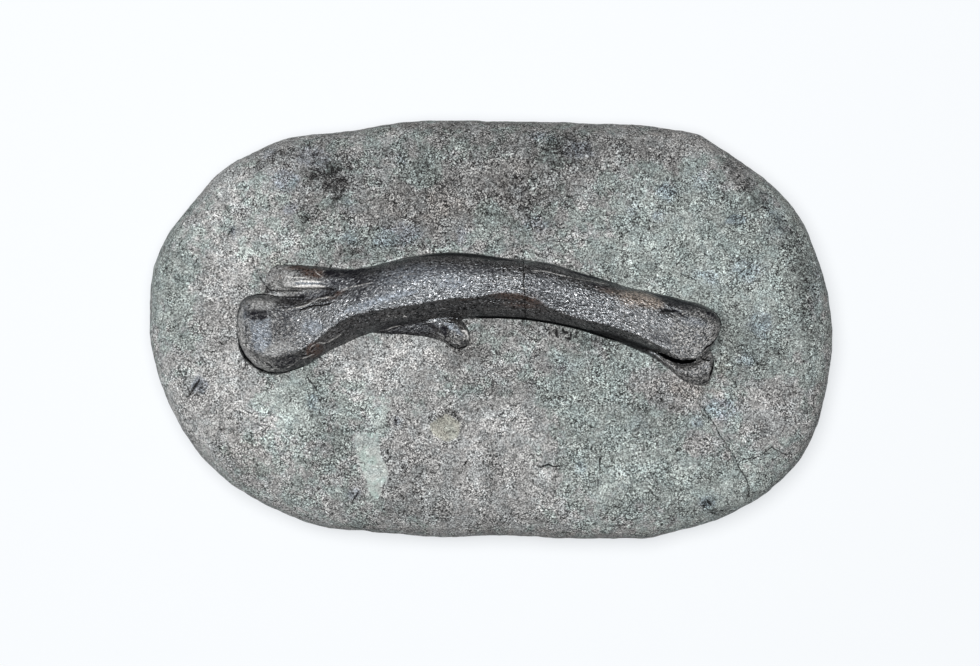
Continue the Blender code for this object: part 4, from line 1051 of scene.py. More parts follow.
@dataclass
class SharedEffects:
    """The shader groups that both finishes use: grains, soft patches, ragged marks and cracks."""

    push_noise: Point = (1.3, 1.0)
    detail: float = 4.0
    mottle_roughness: float = 0.6
    ragged_roughness: float = 0.65
    ragged_spread: tuple[float, ...] = (0.3, 0.7, 0.25, 1.75)
    crisp_level: float = 0.9
    crisp_fade: float = 0.12
    crack_push: float = 0.7
    crack_line: tuple[float, ...] = (0.35, 1.0, 1.0, 0.0)
    crack_noise: Point = (2.0, 2.0)
    crack_fade: float = 0.05

    def build(self) -> None:
        """Make the four groups."""
        self.grains = self.make_grains()
        self.mottle = self.make_mottle()
        self.ragged = self.make_ragged()
        self.cracks = self.make_cracks()

    def make_grains(self) -> NodeTree:
        """Make the group that splits a surface into uneven grains.

        Returns:
            The group, which gives each grain a pick and a tint from 0 to 1, and a rise.
        """
        tree, ends, out = new_group("grains", {"Size": 1.0, "Warp": 0.5}, ("Pick", "Tint", "Rise"))
        pushed = self.push(tree, self.scale(tree, ends), ends["Warp"])
        cells = add_node(tree, "ShaderNodeTexVoronoi", {"Vector": pushed, "Scale": 1.0})
        parts = add_node(tree, "ShaderNodeSeparateColor", {0: cells.outputs["Color"]})
        tree.links.new(parts.outputs[0], out["Pick"])
        tree.links.new(parts.outputs[1], out["Tint"])
        tree.links.new(work_out(tree, 'SUBTRACT', 1.0, cells.outputs["Distance"]), out["Rise"])
        return tree

    def make_mottle(self) -> NodeTree:
        """Make the group of soft uneven patches.

        Returns:
            The group, whose mask rises from 0 to 1 between its low and high levels.
        """
        tree, ends, out = new_group("mottle", {"Size": 10.0, "Low": 0.35, "High": 0.65}, ("Mask",))
        cloud = add_noise(tree, self.scale(tree, ends), 1.0, self.detail, self.mottle_roughness)
        tree.links.new(fit_range(tree, cloud.outputs[0], ends["Low"], ends["High"]), out["Mask"])
        return tree

    def make_ragged(self) -> NodeTree:
        """Make the group that breaks up a painted mark, with a soft or a crisp edge.

        Returns:
            The group.
        """
        tree, ends, out = new_group("ragged", {"Mark": 0.0, "Size": 1.0, "Crisp": 0.0}, ("Mask",))
        cloud = add_noise(
            tree, self.scale(tree, ends), 1.0, self.detail, self.ragged_roughness).outputs[0]
        spread = multiply(tree, ends["Mark"], fit_range(tree, cloud, *self.ragged_spread))
        low = work_out(tree, 'SUBTRACT', self.crisp_level, cloud)
        edge = fit_range(tree, ends["Mark"], low, work_out(tree, 'ADD', low, self.crisp_fade))
        mask = blend_values(tree, ends["Crisp"], work_out(tree, 'MINIMUM', spread, 1.0), edge)
        tree.links.new(mask, out["Mask"])
        return tree

    def make_cracks(self) -> NodeTree:
        """Make the group of thin broken cracks.

        Returns:
            The group, whose size and width are in the same unit.
        """
        tree, ends, out = new_group("cracks", {"Size": 4.0, "Width": 0.2, "Cut": 0.55}, ("Mask",))
        scaled = self.scale(tree, ends)
        cells = add_node(tree, "ShaderNodeTexVoronoi", {
            "Vector": self.push(tree, scaled, self.crack_push), "Scale": 1.0}, feature='DISTANCE_TO_EDGE')
        gap = multiply(tree, cells.outputs["Distance"], ends["Size"])
        line = fit_range(tree, work_out(tree, 'DIVIDE', gap, ends["Width"]), *self.crack_line)
        cloud = add_noise(tree, scaled, *self.crack_noise).outputs[0]
        shown = fit_range(tree, cloud, ends["Cut"], work_out(tree, 'ADD', ends["Cut"], self.crack_fade))
        tree.links.new(multiply(tree, line, shown), out["Mask"])
        return tree

    def push(self, tree: NodeTree, vector: NodeSocket, reach: object) -> NodeSocket:
        """Move coordinates about with noise, so that cells get uneven shapes.

        Args:
            tree: the group's tree.
            vector: the coordinates.
            reach: how far they move at most, as a number or an output.

        Returns:
            The moved coordinates.
        """
        cloud = add_noise(tree, vector, *self.push_noise)
        offset = add_node(tree, "ShaderNodeVectorMath", {0: cloud.outputs["Color"], 1: (0.5, 0.5, 0.5)},
                          operation='SUBTRACT')
        reach = reach if isinstance(reach, NodeSocket) else (reach, reach, reach)
        return add_node(tree, "ShaderNodeVectorMath", {0: offset.outputs[0], 1: reach, 2: vector},
                        operation='MULTIPLY_ADD').outputs[0]

    def scale(self, tree: NodeTree, ends: object) -> NodeSocket:
        """Divide a group's coordinates by its size."""
        inputs = {0: ends["Vector"], 1: ends["Size"]}
        return add_node(tree, "ShaderNodeVectorMath", inputs, operation='DIVIDE').outputs[0]

    def use(self, tree: NodeTree, group: NodeTree, vector: NodeSocket, **inputs: object) -> Node:
        """Place a group in a material with its own values.

        Args:
            tree: the material's tree.
            group: the shared group.
            vector: the coordinates that it reads.
            inputs: its other inputs by name.

        Returns:
            The group's node.
        """
        return add_node(tree, "ShaderNodeGroup", {"Vector": vector, **inputs}, node_tree=group)

    def grain(self, tree: NodeTree, vector: NodeSocket, size: float, warp: float) -> Node:
        """Place the grains in a material."""
        return self.use(tree, self.grains, vector, Size=size, Warp=warp)

    def patches(self, tree: NodeTree, vector: NodeSocket, size: float, low: float,
                high: float) -> NodeSocket:
        """Place the soft patches in a material and give their mask."""
        return self.use(tree, self.mottle, vector, Size=size, Low=low, High=high).outputs[0]

    def painted(self, tree: NodeTree, vector: NodeSocket, edges: dict[Enum, Point]) -> dict:
        """Read painted marks, each broken up in its own way.

        Args:
            tree: the material's tree.
            vector: the coordinates.
            edges: by mark, the size of its rags and how crisp its edge is.

        Returns:
            The masks by mark.
        """
        return {
            mark: self.use(tree, self.ragged, vector, Mark=read_mark(tree, mark), Size=size,
                           Crisp=crisp).outputs[0]
            for mark, (size, crisp) in edges.items()}


@dataclass(frozen=True)
class SandstoneFinish:
    """Coarse grey-green sandstone. Its layers add up to a tone, where 1 is the stone's even tone.

    A row of grains has their size and warp, and how far their pick and their rise change the tone.
    A cloud has its size and reach, and a dash its size, width, cut and depth. Scratches, specks and
    flecks have their size, the level that they start at, and how far they change the tone.
    """

    stone: Colour = (0.263, 0.269, 0.269)
    nodule: Colour = (0.320, 0.324, 0.280)
    nodule_share: float = 0.8
    green: Colour = (0.885, 1.00, 0.97)
    pink: Colour = (1.035, 1.00, 0.985)
    blue: Colour = (0.90, 0.95, 1.05)
    brown: Colour = (0.98, 0.925, 0.885)
    scar: Colour = (0.94, 1.00, 0.975)
    pink_patches: Place = (6.0, 0.44, 0.52)
    contrast: float = 2.2
    darkest: float = 0.12
    roughness: float = 0.92
    refraction: float = 1.45
    relief: float = 0.00028
    relief_strength: float = 0.9
    grains: Rows = ((0.40, 0.7, 0.37, 0.0), (0.68, 0.8, 0.0, 0.28), (6.0, 1.6, 0.05, 0.0))
    rise_range: Point = (0.15, 0.80)
    bright_share: float = 0.75
    areas: Place = (8.0, 0.38, 0.62)
    lively: Point = (0.7, 1.25)
    lively_dark: float = 0.04
    calm_grain: float = 0.45
    clouds: Rows = ((4.0, 0.06), (7.5, 0.035))
    cloud_range: Point = (0.30, 0.70)
    dashes: Rows = ((5.0, 0.26, 0.58, 0.40),)
    scratch: Place = (1.1, 0.60, 0.20)
    scratch_turn: float = -32.0
    scratch_shrink: Place = (0.22, 1.0, 1.0)
    scratch_fade: float = 0.05
    speck: Place = (1.3, 0.66, 0.34)
    speck_fade: float = 0.03
    speck_areas: tuple[float, ...] = (0.2, 0.8, 0.25, 1.0)
    fleck: Place = (0.9, 0.955, 0.26)
    fleck_warp: float = 1.3
    fleck_fade: float = 0.02
    flake_step: float = 0.04
    # How the painted shade in the carved cracks darkens the tone.
    crack_shade_tone: tuple[float, ...] = (0.25, 0.75, 0.0, -0.65)
    dust_noise: Point = (1.6, 4.0)
    dust_height: float = 1.6

    def build(self, effects: SharedEffects) -> Material:
        """Make the material.

        Args:
            effects: the shared shader groups.

        Returns:
            The material.
        """
        material, tree, shader = new_material("grey_green_sandstone")
        place = in_millimetres(tree)
        marks = effects.painted(tree, place, ROCK_EDGES)
        area = effects.patches(tree, place, *self.areas)
        grain, heights = self.grain_layers(tree, effects, place)
        calm = fit_range(tree, larger(tree, marks[RockMark.SCAR], marks[RockMark.NODULE]), 0.0, 1.0,
                         1.0, self.calm_grain)
        strength = multiply(tree, calm, fit_range(tree, area, 0.0, 1.0, *self.lively))
        layers = [multiply(tree, grain, strength), multiply(tree, area, -self.lively_dark)]
        layers += self.wear_layers(tree, effects, place, area, heights)
        layers += [multiply(tree, marks[mark], light) for mark, light in ROCK_LIGHTS.items()]
        layers.append(fit_range(tree, read_mark(tree, RockMark.FLAKE), 0.0, 1.0,
                                -self.flake_step, self.flake_step))
        layers.append(fit_range(tree, read_mark(tree, RockMark.CRACK), *self.crack_shade_tone))
        tone = larger(tree, work_out(tree, 'ADD', add_up(tree, layers), 1.0), self.darkest)
        stone = blend_colours(tree, multiply(tree, marks[RockMark.NODULE], self.nodule_share), self.stone,
                              self.nodule)
        colour = times(tree, stone, work_out(tree, 'POWER', tone, self.contrast))
        pink = effects.patches(tree, place, *self.pink_patches)
        for mask, tint in ((pink, self.pink), (marks[RockMark.GREEN], self.green),
                           (marks[RockMark.BROWN], self.brown), (marks[RockMark.BLUE], self.blue),
                           (marks[RockMark.SCAR], self.scar)):
            colour = tinted(tree, colour, mask, tint)
        dust = add_noise(tree, place, *self.dust_noise).outputs[0]
        heights.append(multiply(tree, dust, self.dust_height))
        bump = add_node(tree, "ShaderNodeBump", {
            "Strength": self.relief_strength, "Distance": self.relief, "Height": add_up(tree, heights)})
        shader.inputs["IOR"].default_value = self.refraction
        shader.inputs["Roughness"].default_value = self.roughness
        tree.links.new(colour, shader.inputs["Base Color"])
        tree.links.new(bump.outputs[0], shader.inputs["Normal"])
        return material

    def grain_layers(self, tree: NodeTree, effects: SharedEffects,
                     place: NodeSocket) -> tuple[NodeSocket, list[NodeSocket]]:
        """Add the grains.

        Args:
            tree: the material's tree.
            effects: the shared shader groups.
            place: the coordinates.

        Returns:
            The change of tone, and the heights of the grains that stand out.
        """
        layers, heights = [], []
        for size, warp, pick_reach, rise_reach in self.grains:
            grain = effects.grain(tree, place, size, warp)
            layers.append(fit_range(tree, grain.outputs["Pick"], 0.0, 1.0,
                                    -pick_reach, self.bright_share * pick_reach))
            if rise_reach:
                layers.append(fit_range(tree, grain.outputs["Rise"], *self.rise_range,
                                        -rise_reach, self.bright_share * rise_reach))
                heights.append(grain.outputs["Rise"])
        return add_up(tree, layers), heights

    def wear_layers(self, tree: NodeTree, effects: SharedEffects, place: NodeSocket, area: NodeSocket,
                    heights: list[NodeSocket]) -> list[NodeSocket]:
        """Add the clouds, cracks, specks, scratches and bright flecks.

        Args:
            tree: the material's tree.
            effects: the shared shader groups.
            place: the coordinates.
            area: the mask of the areas with more specks.
            heights: the heights of the relief, to which the cracks and specks are added.

        Returns:
            The changes of tone.
        """
        layers = []
        for size, reach in self.clouds:
            cloud = effects.patches(tree, place, size, *self.cloud_range)
            layers.append(fit_range(tree, cloud, 0.0, 1.0, -reach, reach))
        for size, width, cut, depth in self.dashes:
            crack = effects.use(tree, effects.cracks, place, Size=size, Width=width, Cut=cut).outputs[0]
            layers.append(multiply(tree, crack, -depth))
            heights.append(multiply(tree, crack, -1.0))
        size, cut, depth = self.speck
        pit = effects.patches(tree, place, size, cut, cut + self.speck_fade)
        dark = multiply(tree, pit, fit_range(tree, area, *self.speck_areas))
        layers.append(multiply(tree, dark, -depth))
        heights.append(multiply(tree, dark, -1.0))
        size, cut, depth = self.scratch
        turned_place = add_node(tree, "ShaderNodeVectorRotate", {
            "Vector": place, "Angle": math.radians(self.scratch_turn)}, rotation_type='Z_AXIS').outputs[0]
        drawn = shrunk(tree, turned_place, self.scratch_shrink)
        scratch = effects.patches(tree, drawn, size, cut, cut + self.scratch_fade)
        layers.append(multiply(tree, scratch, -depth))
        size, cut, reach = self.fleck
        fleck = effects.grain(tree, place, size, self.fleck_warp)
        layers.append(fit_range(tree, fleck.outputs["Tint"], cut, cut + self.fleck_fade, 0.0, reach))
        return layers


@dataclass(frozen=True)
class FossilFinish:
    """Dark mineralised bone: glossy and finely streaked on the shaft, dull and pitted at its ends.

    Streaks and clouds have the size of their patches and the levels between which they show. Specks
    and pits have their size and warp. A cover or share is how much of a colour or mark shows.
    """

    deep: Colour = (0.0085, 0.0080, 0.0085)
    warm: Colour = (0.045, 0.041, 0.040)
    # A painted highlight: the lighter blue-grey laid on faces that point up.
    upward_highlight: Colour = (0.087, 0.094, 0.103)
    fleck: Colour = (0.530, 0.530, 0.540)
    # White of the crystal flecks, which also stand in as painted glints.
    matte: Colour = (0.127, 0.124, 0.120)
    tan: Colour = (0.235, 0.196, 0.168)
    stain: Colour = (0.048, 0.024, 0.015)
    # Near black of the smudges and of the painted shade that they also carry.
    smudge_and_shade: Colour = (0.0110, 0.0100, 0.0150)
    # Pale blue of the polished patches and of the painted highlight.
    polish_and_highlight: Colour = (0.185, 0.212, 0.250)
    # Pale of the mineral seams and of the painted highlight streaks.
    seam_and_highlight: Colour = (0.760, 0.740, 0.715)
    # gap is the near black of the painted shade in cracks, grooves and shade lines.
    gap: Colour = (0.003, 0.003, 0.003)
    # The grainy colour of the rock dust and of the painted light on the head's rim.
    dust_and_light_dark: Colour = (0.150, 0.150, 0.147)
    dust_and_light_pale: Colour = (0.720, 0.715, 0.700)
    sheen: Colour = (0.89, 0.955, 1.0)
    refraction: float = 1.72
    streaks: Place = (1.3, 0.38, 0.62)
    streak_shrink: float = 0.2
    clouds: Place = (6.0, 0.32, 0.68)
    grain_stretch: float = 0.75
    speck: Point = (0.36, 1.0)
    pits: Point = (0.48, 1.2)
    upward_highlight_share: float = 0.5
    crystal_and_glint_share: Point = (0.80, 0.91)
    crystal_and_glint_cover: Point = (0.20, 0.76)
    matte_grain: Point = (0.98, 0.64)
    bright_share: float = 0.8
    rise_range: Point = (0.15, 0.80)
    grain_darkest: float = 0.15
    grain_contrast: float = 1.8
    soft_grain: float = 0.35
    smudge_and_shade_core: tuple[float, ...] = (0.60, 1.00, 0.0, 0.70)
    matte_share: float = 0.85
    polish_and_highlight_share: float = 0.6
    tan_share: float = 0.85
    stain_share: float = 0.9
    smudge_and_shade_share: float = 0.95
    dust_and_light_share: float = 0.9
    seam_and_highlight_share: float = 0.8
    shade_range: Point = (0.20, 0.70)
    pore_share: Point = (0.64, 0.80)
    pore_depth: float = 0.92
    smudge_and_shade_depth: float = 0.85
    roughness: float = 0.24
    matte_roughness: float = 0.60
    polish_roughness: float = 0.40
    dull_roughness: float = 0.80
    uneven_gloss: Point = (-0.08, 0.12)
    relief: float = 0.00046
    fibre_noise: Point = (1.3, 0.0)
    fine_noise: Point = (2.6, 0.0)
    fine_share: float = 0.36
    polish_calm: float = 0.6
    matte_calm: float = 0.5
    calmest: float = 0.3
    streak_height: float = 0.10
    pit_height: float = 0.40

    def build(self, effects: SharedEffects) -> Material:
        """Make the material.

        Args:
            effects: the shared shader groups.

        Returns:
            The material.
        """
        material, tree, shader = new_material("dark_fossil_bone")
        place = in_millimetres(tree)
        flow = add_node(tree, "ShaderNodeAttribute", attribute_name=FLOW).outputs["Vector"]
        fine_flow = shrunk(tree, flow, (self.grain_stretch, 1.0, 1.0))
        streaks = effects.patches(tree, shrunk(tree, flow, (self.streak_shrink, 1.0, 1.0)), *self.streaks)
        speck = effects.grain(tree, fine_flow, *self.speck)
        pits = effects.grain(tree, fine_flow, *self.pits)
        marks = effects.painted(tree, place, BONE_EDGES)
        marks[BoneMark.SMUDGE] = larger(tree, marks[BoneMark.SMUDGE], fit_range(
            tree, read_mark(tree, BoneMark.SMUDGE), *self.smudge_and_shade_core))
        marks[BoneMark.SEAM] = multiply(tree, marks[BoneMark.SEAM], self.seam_and_highlight_share)
        marks[BoneMark.GAP] = fit_range(tree, read_mark(tree, BoneMark.GAP), *self.shade_range)
        cloud = effects.patches(tree, place, *self.clouds)
        colour = blend_colours(tree, blend_values(tree, 0.5, streaks, cloud), self.deep, self.warm)
        tree.links.new(self.colour(tree, colour, marks, speck, pits), shader.inputs["Base Color"])
        tree.links.new(self.gloss(tree, marks, speck), shader.inputs["Roughness"])
        tree.links.new(self.hollow(tree, marks, pits), shader.inputs["Metallic"])
        fibres = add_noise(tree, fine_flow, *self.fibre_noise).outputs[0]
        fine = add_noise(tree, place, *self.fine_noise).outputs[0]
        fibres = work_out(tree, 'ADD', fibres, multiply(tree, fine, self.fine_share))
        matte = marks[BoneMark.MATTE]
        smoother = larger(tree, multiply(tree, marks[BoneMark.POLISH], self.polish_calm),
                          multiply(tree, matte, self.matte_calm))
        height = add_up(tree, [
            multiply(tree, fibres, fit_range(tree, smoother, 0.0, 1.0, 1.0, self.calmest)),
            multiply(tree, streaks, self.streak_height),
            multiply(tree, multiply(tree, pits.outputs["Rise"], matte), self.pit_height)])
        bump = add_node(tree, "ShaderNodeBump", {"Strength": 1.0, "Distance": self.relief, "Height": height})
        shader.inputs["IOR"].default_value = self.refraction
        shader.inputs["Specular Tint"].default_value = (*self.sheen, 1.0)
        tree.links.new(bump.outputs[0], shader.inputs["Normal"])
        return material

    def colour(self, tree: NodeTree, colour: NodeSocket, marks: dict, speck: Node,
               pits: Node) -> NodeSocket:
        """Lay the painted highlight on upward faces, the crystals and glints, and the painted marks over the
        dark bone.

        Args:
            tree: the material's tree.
            colour: the bone's own colour.
            marks: the masks of the painted marks.
            speck: the fine grains.
            pits: the coarser grains.

        Returns:
            The finished colour.
        """
        upward_highlight = read_mark(tree, BoneMark.WORN)
        colour = blend_colours(tree, multiply(tree, upward_highlight, self.upward_highlight_share), colour, self.upward_highlight)
        # White flecks: crystals, sparse on every face and thicker on upward faces as painted glints.
        crystal_and_glint = fit_range(tree, speck.outputs["Pick"], *self.crystal_and_glint_share)
        crystal_and_glint = multiply(tree, crystal_and_glint, blend_values(tree, upward_highlight, *self.crystal_and_glint_cover))
        colour = blend_colours(tree, crystal_and_glint, colour, self.fleck)
        pick_reach, rise_reach = self.matte_grain
        grain = add_up(tree, [
            fit_range(tree, speck.outputs["Pick"], 0.0, 1.0,
                      1.0 - pick_reach, 1.0 + self.bright_share * pick_reach),
            fit_range(tree, pits.outputs["Rise"], *self.rise_range, -rise_reach, rise_reach)])
        grain = work_out(tree, 'POWER', larger(tree, grain, self.grain_darkest), self.grain_contrast)
        soft_grain = blend_values(tree, self.soft_grain, 1.0, grain)
        # Rock dust, and painted light on faces that turn from the light.
        dust = blend_colours(tree, fit_range(tree, speck.outputs["Tint"], 0.0, 1.0), self.dust_and_light_dark,
                             self.dust_and_light_pale)
        for mark, shade, most in (
                (BoneMark.MATTE, times(tree, grain, self.matte), self.matte_share),
                (BoneMark.POLISH, times(tree, soft_grain, self.polish_and_highlight), self.polish_and_highlight_share),
                (BoneMark.TAN, times(tree, soft_grain, self.tan), self.tan_share),
                (BoneMark.STAIN, times(tree, soft_grain, self.stain), self.stain_share),
                (BoneMark.SMUDGE, self.smudge_and_shade, self.smudge_and_shade_share),
                (BoneMark.DUST, dust, self.dust_and_light_share),
                (BoneMark.SEAM, self.seam_and_highlight, 1.0), (BoneMark.GAP, self.gap, 1.0)):
            colour = blend_colours(tree, multiply(tree, marks[mark], most), colour, shade)
        return colour

    def gloss(self, tree: NodeTree, marks: dict, speck: Node) -> NodeSocket:
        """Work out the roughness.

        Args:
            tree: the material's tree.
            marks: the masks of the painted marks.
            speck: the fine grains.

        Returns:
            The roughness.
        """
        gloss = blend_values(tree, marks[BoneMark.MATTE], self.roughness, self.matte_roughness)
        gloss = blend_values(tree, marks[BoneMark.POLISH], gloss, self.polish_roughness)
        dull = larger(tree, larger(tree, marks[BoneMark.DUST], marks[BoneMark.SMUDGE]),
                      marks[BoneMark.STAIN])
        gloss = blend_values(tree, dull, gloss, self.dull_roughness)
        uneven = fit_range(tree, speck.outputs["Tint"], 0.0, 1.0, *self.uneven_gloss)
        return blend_values(tree, marks[BoneMark.GAP], work_out(tree, 'ADD', gloss, uneven), 1.0)

    def hollow(self, tree: NodeTree, marks: dict, pits: Node) -> NodeSocket:
        """Find where no sheen shows: pores, smudges and painted shade, which get a metal's lack of it.

        Args:
            tree: the material's tree.
            marks: the masks of the painted marks.
            pits: the coarser grains.

        Returns:
            The mask.
        """
        pore = fit_range(tree, pits.outputs["Pick"], *self.pore_share, 0.0, self.pore_depth)
        pore = multiply(tree, pore, work_out(tree, 'SUBTRACT', 1.0, marks[BoneMark.SEAM]))
        smudge_and_shade = multiply(tree, marks[BoneMark.SMUDGE], self.smudge_and_shade_depth)
        return larger(tree, marks[BoneMark.GAP], larger(tree, pore, smudge_and_shade))


@dataclass(frozen=True)
class FloorFinish:
    """Plain white paper on a faint light table, which softens the shadow beside the slab."""

    colour: Colour = (0.26, 0.265, 0.27)
    glow: Colour = (0.95, 0.975, 1.0)
    glow_strength: float = 0.615

    def build(self) -> Material:
        """Make the material."""
        material, _, shader = new_material("white_floor")
        shader.inputs["Base Color"].default_value = (*self.colour, 1.0)
        shader.inputs["Roughness"].default_value = 1.0
        shader.inputs["Specular IOR Level"].default_value = 0.0
        shader.inputs["Emission Color"].default_value = (*self.glow, 1.0)
        shader.inputs["Emission Strength"].default_value = self.glow_strength
        return material


@dataclass
class FossilFemur:
    """The whole thigh bone, which is one piece with a hairline break."""

    level: float = 34.0
    sides: int = 48
    rings_per_station: int = 4
    voxel: float = 0.5
    bridge_centre: tuple[float, float, float] = (74.0, -9.0, 27.0)
    bridge_half: tuple[float, float, float] = (17.0, 9.5, 7.2)
    ball_centre: tuple[float, float, float] = (-89.0, -1.5, 25.5)
    ball_half: tuple[float, float, float] = (11.5, 13.0, 9.5)
    buried: float = 2.5
    buried_share: float = 0.15
    near_a_line: float = 1.3
    highest: float = 47.03
    broad_line: float = 1.0
    mark_wander: Point = (2.2, 0.5)
    line_wander: Point = (1.6, 0.15)
    rough: Rows = ((1.7, 0, 0.05, 0.10), (3.7, 5, 0.05, 0.08))
    shown_depth: float = 2.0
    highlight_from: float = 0.86
    highlight_fade: float = 0.12

    def build(self) -> Object:
        """Model the bone.

        Returns:
            The finished piece, painted but not dressed.
        """
        bone = self.blank()
        apply_modifier(bone, 'REMESH', mode='VOXEL', voxel_size=self.voxel * MM)
        apply_modifier(bone, 'SMOOTH', factor=0.5, iterations=3)
        self.thin_underside(bone)
        self.refine_near_lines(bone)
        self.carve(bone)
        self.paint_marks(bone)
        pick(bone)
        bpy.ops.object.shade_smooth()
        return bone

    def section_rings(self, stations: Array) -> Array:
        """Give the twelve points (y, z) round each section, from its front edge up.

        Args:
            stations: one row of sizes for each section.

        Returns:
            The points by section.
        """
        _, front, back, crest_y, crest_z, ridge_y, ridge_z, depth = stations.T
        width = front - back
        rise = crest_z - self.level
        flank_y = ridge_y + BACK_FLANK[0] * (back - ridge_y)
        flank_z = self.level + BACK_FLANK[1] * (ridge_z - self.level)
        level = np.full_like(front, self.level)
        under = level - UNDER_TURN[1] * depth
        points = (
            (front, level),
            (front + FRONT_FLANK[0] * (crest_y - front), level + FRONT_FLANK[1] * rise),
            (front + FRONT_SHOULDER[0] * (crest_y - front), level + FRONT_SHOULDER[1] * rise),
            (crest_y, crest_z),
            (ridge_y + FACE_SIDE_OF_RIDGE[0] * (crest_y - ridge_y),
             ridge_z + FACE_SIDE_OF_RIDGE[1] * (crest_z - ridge_z)),
            (ridge_y, ridge_z),
            (ridge_y + BACK_SIDE_OF_RIDGE[0] * (flank_y - ridge_y),
             ridge_z + BACK_SIDE_OF_RIDGE[1] * (flank_z - ridge_z)),
            (flank_y, flank_z),
            (back, level),
            (back + UNDER_TURN[0] * width, under),
            (0.5 * (front + back), level - depth),
            (front - UNDER_TURN[0] * width, under),
        )
        return np.stack([np.stack(point, axis=1) for point in points], axis=1)

    def loft(self, name: str, stations: Rows) -> Object:
        """Model a closed length of bone through stations."""
        steps = np.linspace(0.0, len(stations) - 1.0, (len(stations) - 1) * self.rings_per_station + 1)
        rows = smooth_rows(stations, steps)
        sections = self.section_rings(rows)
        turns = np.arange(self.sides) / self.sides * sections.shape[1]
        rings = np.empty((len(rows), self.sides, 3))
        for ring, row, section in zip(rings, rows, sections):
            ring[:, 0] = row[0]
            ring[:, 1:] = smooth_loop(section, turns)
        return stack_rings(name, rings)

    def ball(self, centre: tuple[float, float, float], half: tuple[float, float, float]) -> Object:
        """Model a stretched ball."""
        deselect_all()
        bpy.ops.mesh.primitive_uv_sphere_add(
            segments=32, ring_count=20, radius=MM, location=[MM * value for value in centre], scale=half)
        made = bpy.context.object
        bpy.ops.object.transform_apply(location=True, rotation=True, scale=True)
        return made

    def blank(self) -> Object:
        """Model the bone's lengths and balls, and join them."""
        shaft = self.loft("femur_bone", SHAFT)
        parts = [self.loft("femur_part", stations) for stations in (FINGER, WEB, BLADE, INNER_CONDYLE)]
        parts.append(self.ball(self.bridge_centre, self.bridge_half))
        parts.append(self.ball(self.ball_centre, self.ball_half))
        pick(shaft, *parts)
        bpy.ops.object.join()
        return shaft

    def lines(self) -> tuple[Stroke, ...]:
        """List every line that is cut into the bone or stands on it."""
        return (BREAK, CONDYLE_SLOT, *TIP_CRACKS, *HEAD_GROOVES, *RAISED_CRACK, KNOB_GROOVE, *SHADE_LINES,
                *SEAMS_AND_HIGHLIGHTS)

    def thin_underside(self, bone: Object) -> None:
        """Give the smooth buried side larger faces."""
        select_faces(bone, face_middles(bone)[:, 2] < self.level - self.buried)
        bpy.ops.mesh.decimate(ratio=self.buried_share)
        bpy.ops.object.mode_set(mode='OBJECT')

    def refine_near_lines(self, bone: Object) -> None:
        """Give the mesh finer faces where lines run."""
        middles = face_middles(bone)
        wanted = np.zeros(len(middles), dtype=bool)
        for line in self.lines():
            if line.half_width > self.broad_line and line.depth < self.broad_line:
                continue
            wide = Stroke(line.points, self.near_a_line)
            wanted |= wide.cover(middles[:, :2]) > 0.0
        wanted &= middles[:, 2] > self.level - 1.0
        refine(bone, wanted, 1)

    def carve(self, bone: Object) -> None:
        """Shape the dents, lines and natural roughness of the upper side."""
        places = read_places(bone)
        normals = read_vectors(bone.data, "normal")
        plan = wander(places, *self.line_wander)
        height = np.zeros(len(places))
        for swell in BONE_SWELLS:
            height += swell.cover(places[:, :2])
        for line in self.lines():
            height -= line.depth * line.cover(plan)
        matte = strongest(BONE_PAINT[BoneMark.MATTE], places[:, :2])
        for size, shift, even, added in self.rough:
            height += (even + added * matte) * noise_at(places, size, shift)
        shown = smooth_step((places[:, 2] - self.level) / self.shown_depth)
        places += normals * (height * shown)[:, None]
        places[:, 2] = np.minimum(places[:, 2], self.highest)
        write_places(bone, places)

    def paint_marks(self, bone: Object) -> None:
        """Paint the marks and the direction in which the bone's fibres flow."""
        places = read_places(bone)
        plan = wander(places, *self.mark_wander)
        for mark, shapes in BONE_PAINT.items():
            paint(bone, mark.value, strongest(shapes, plan))
        narrow = wander(places, *self.line_wander)
        # Painted shade: near black along the cracks, grooves and shade lines.
        cuts = (BREAK, CONDYLE_SLOT, *TIP_CRACKS, *HEAD_GROOVES, KNOB_GROOVE, *SHADE_LINES)
        paint(bone, BoneMark.GAP.value, strongest(cuts, narrow))
        paint(bone, BoneMark.SEAM.value, strongest((*SEAMS_AND_HIGHLIGHTS, *RAISED_CRACK), narrow))
        # Painted highlight: faces that point up get a lighter colour, as under the light overhead.
        upward = read_vectors(bone.data, "normal")[:, 2]
        paint(bone, BoneMark.WORN.value, smooth_step((upward - self.highlight_from) / self.highlight_fade))
        stations = np.array(SHAFT)
        middle = np.interp(places[:, 0], stations[:, 0], 0.5 * (stations[:, 3] + stations[:, 5]))
        flow = np.column_stack((places[:, 0], places[:, 1] - middle, places[:, 2]))
        layer = bone.data.attributes.new(FLOW, 'FLOAT_VECTOR', 'POINT')
        layer.data.foreach_set("vector", flow.astype(np.float32).ravel())

    def dress(self, bone: Object, effects: SharedEffects) -> None:
        """Give the bone its finish and place in the model."""
        dress_in(bone, FossilFinish().build(effects))
        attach(bone, "root")
        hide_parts("femur")


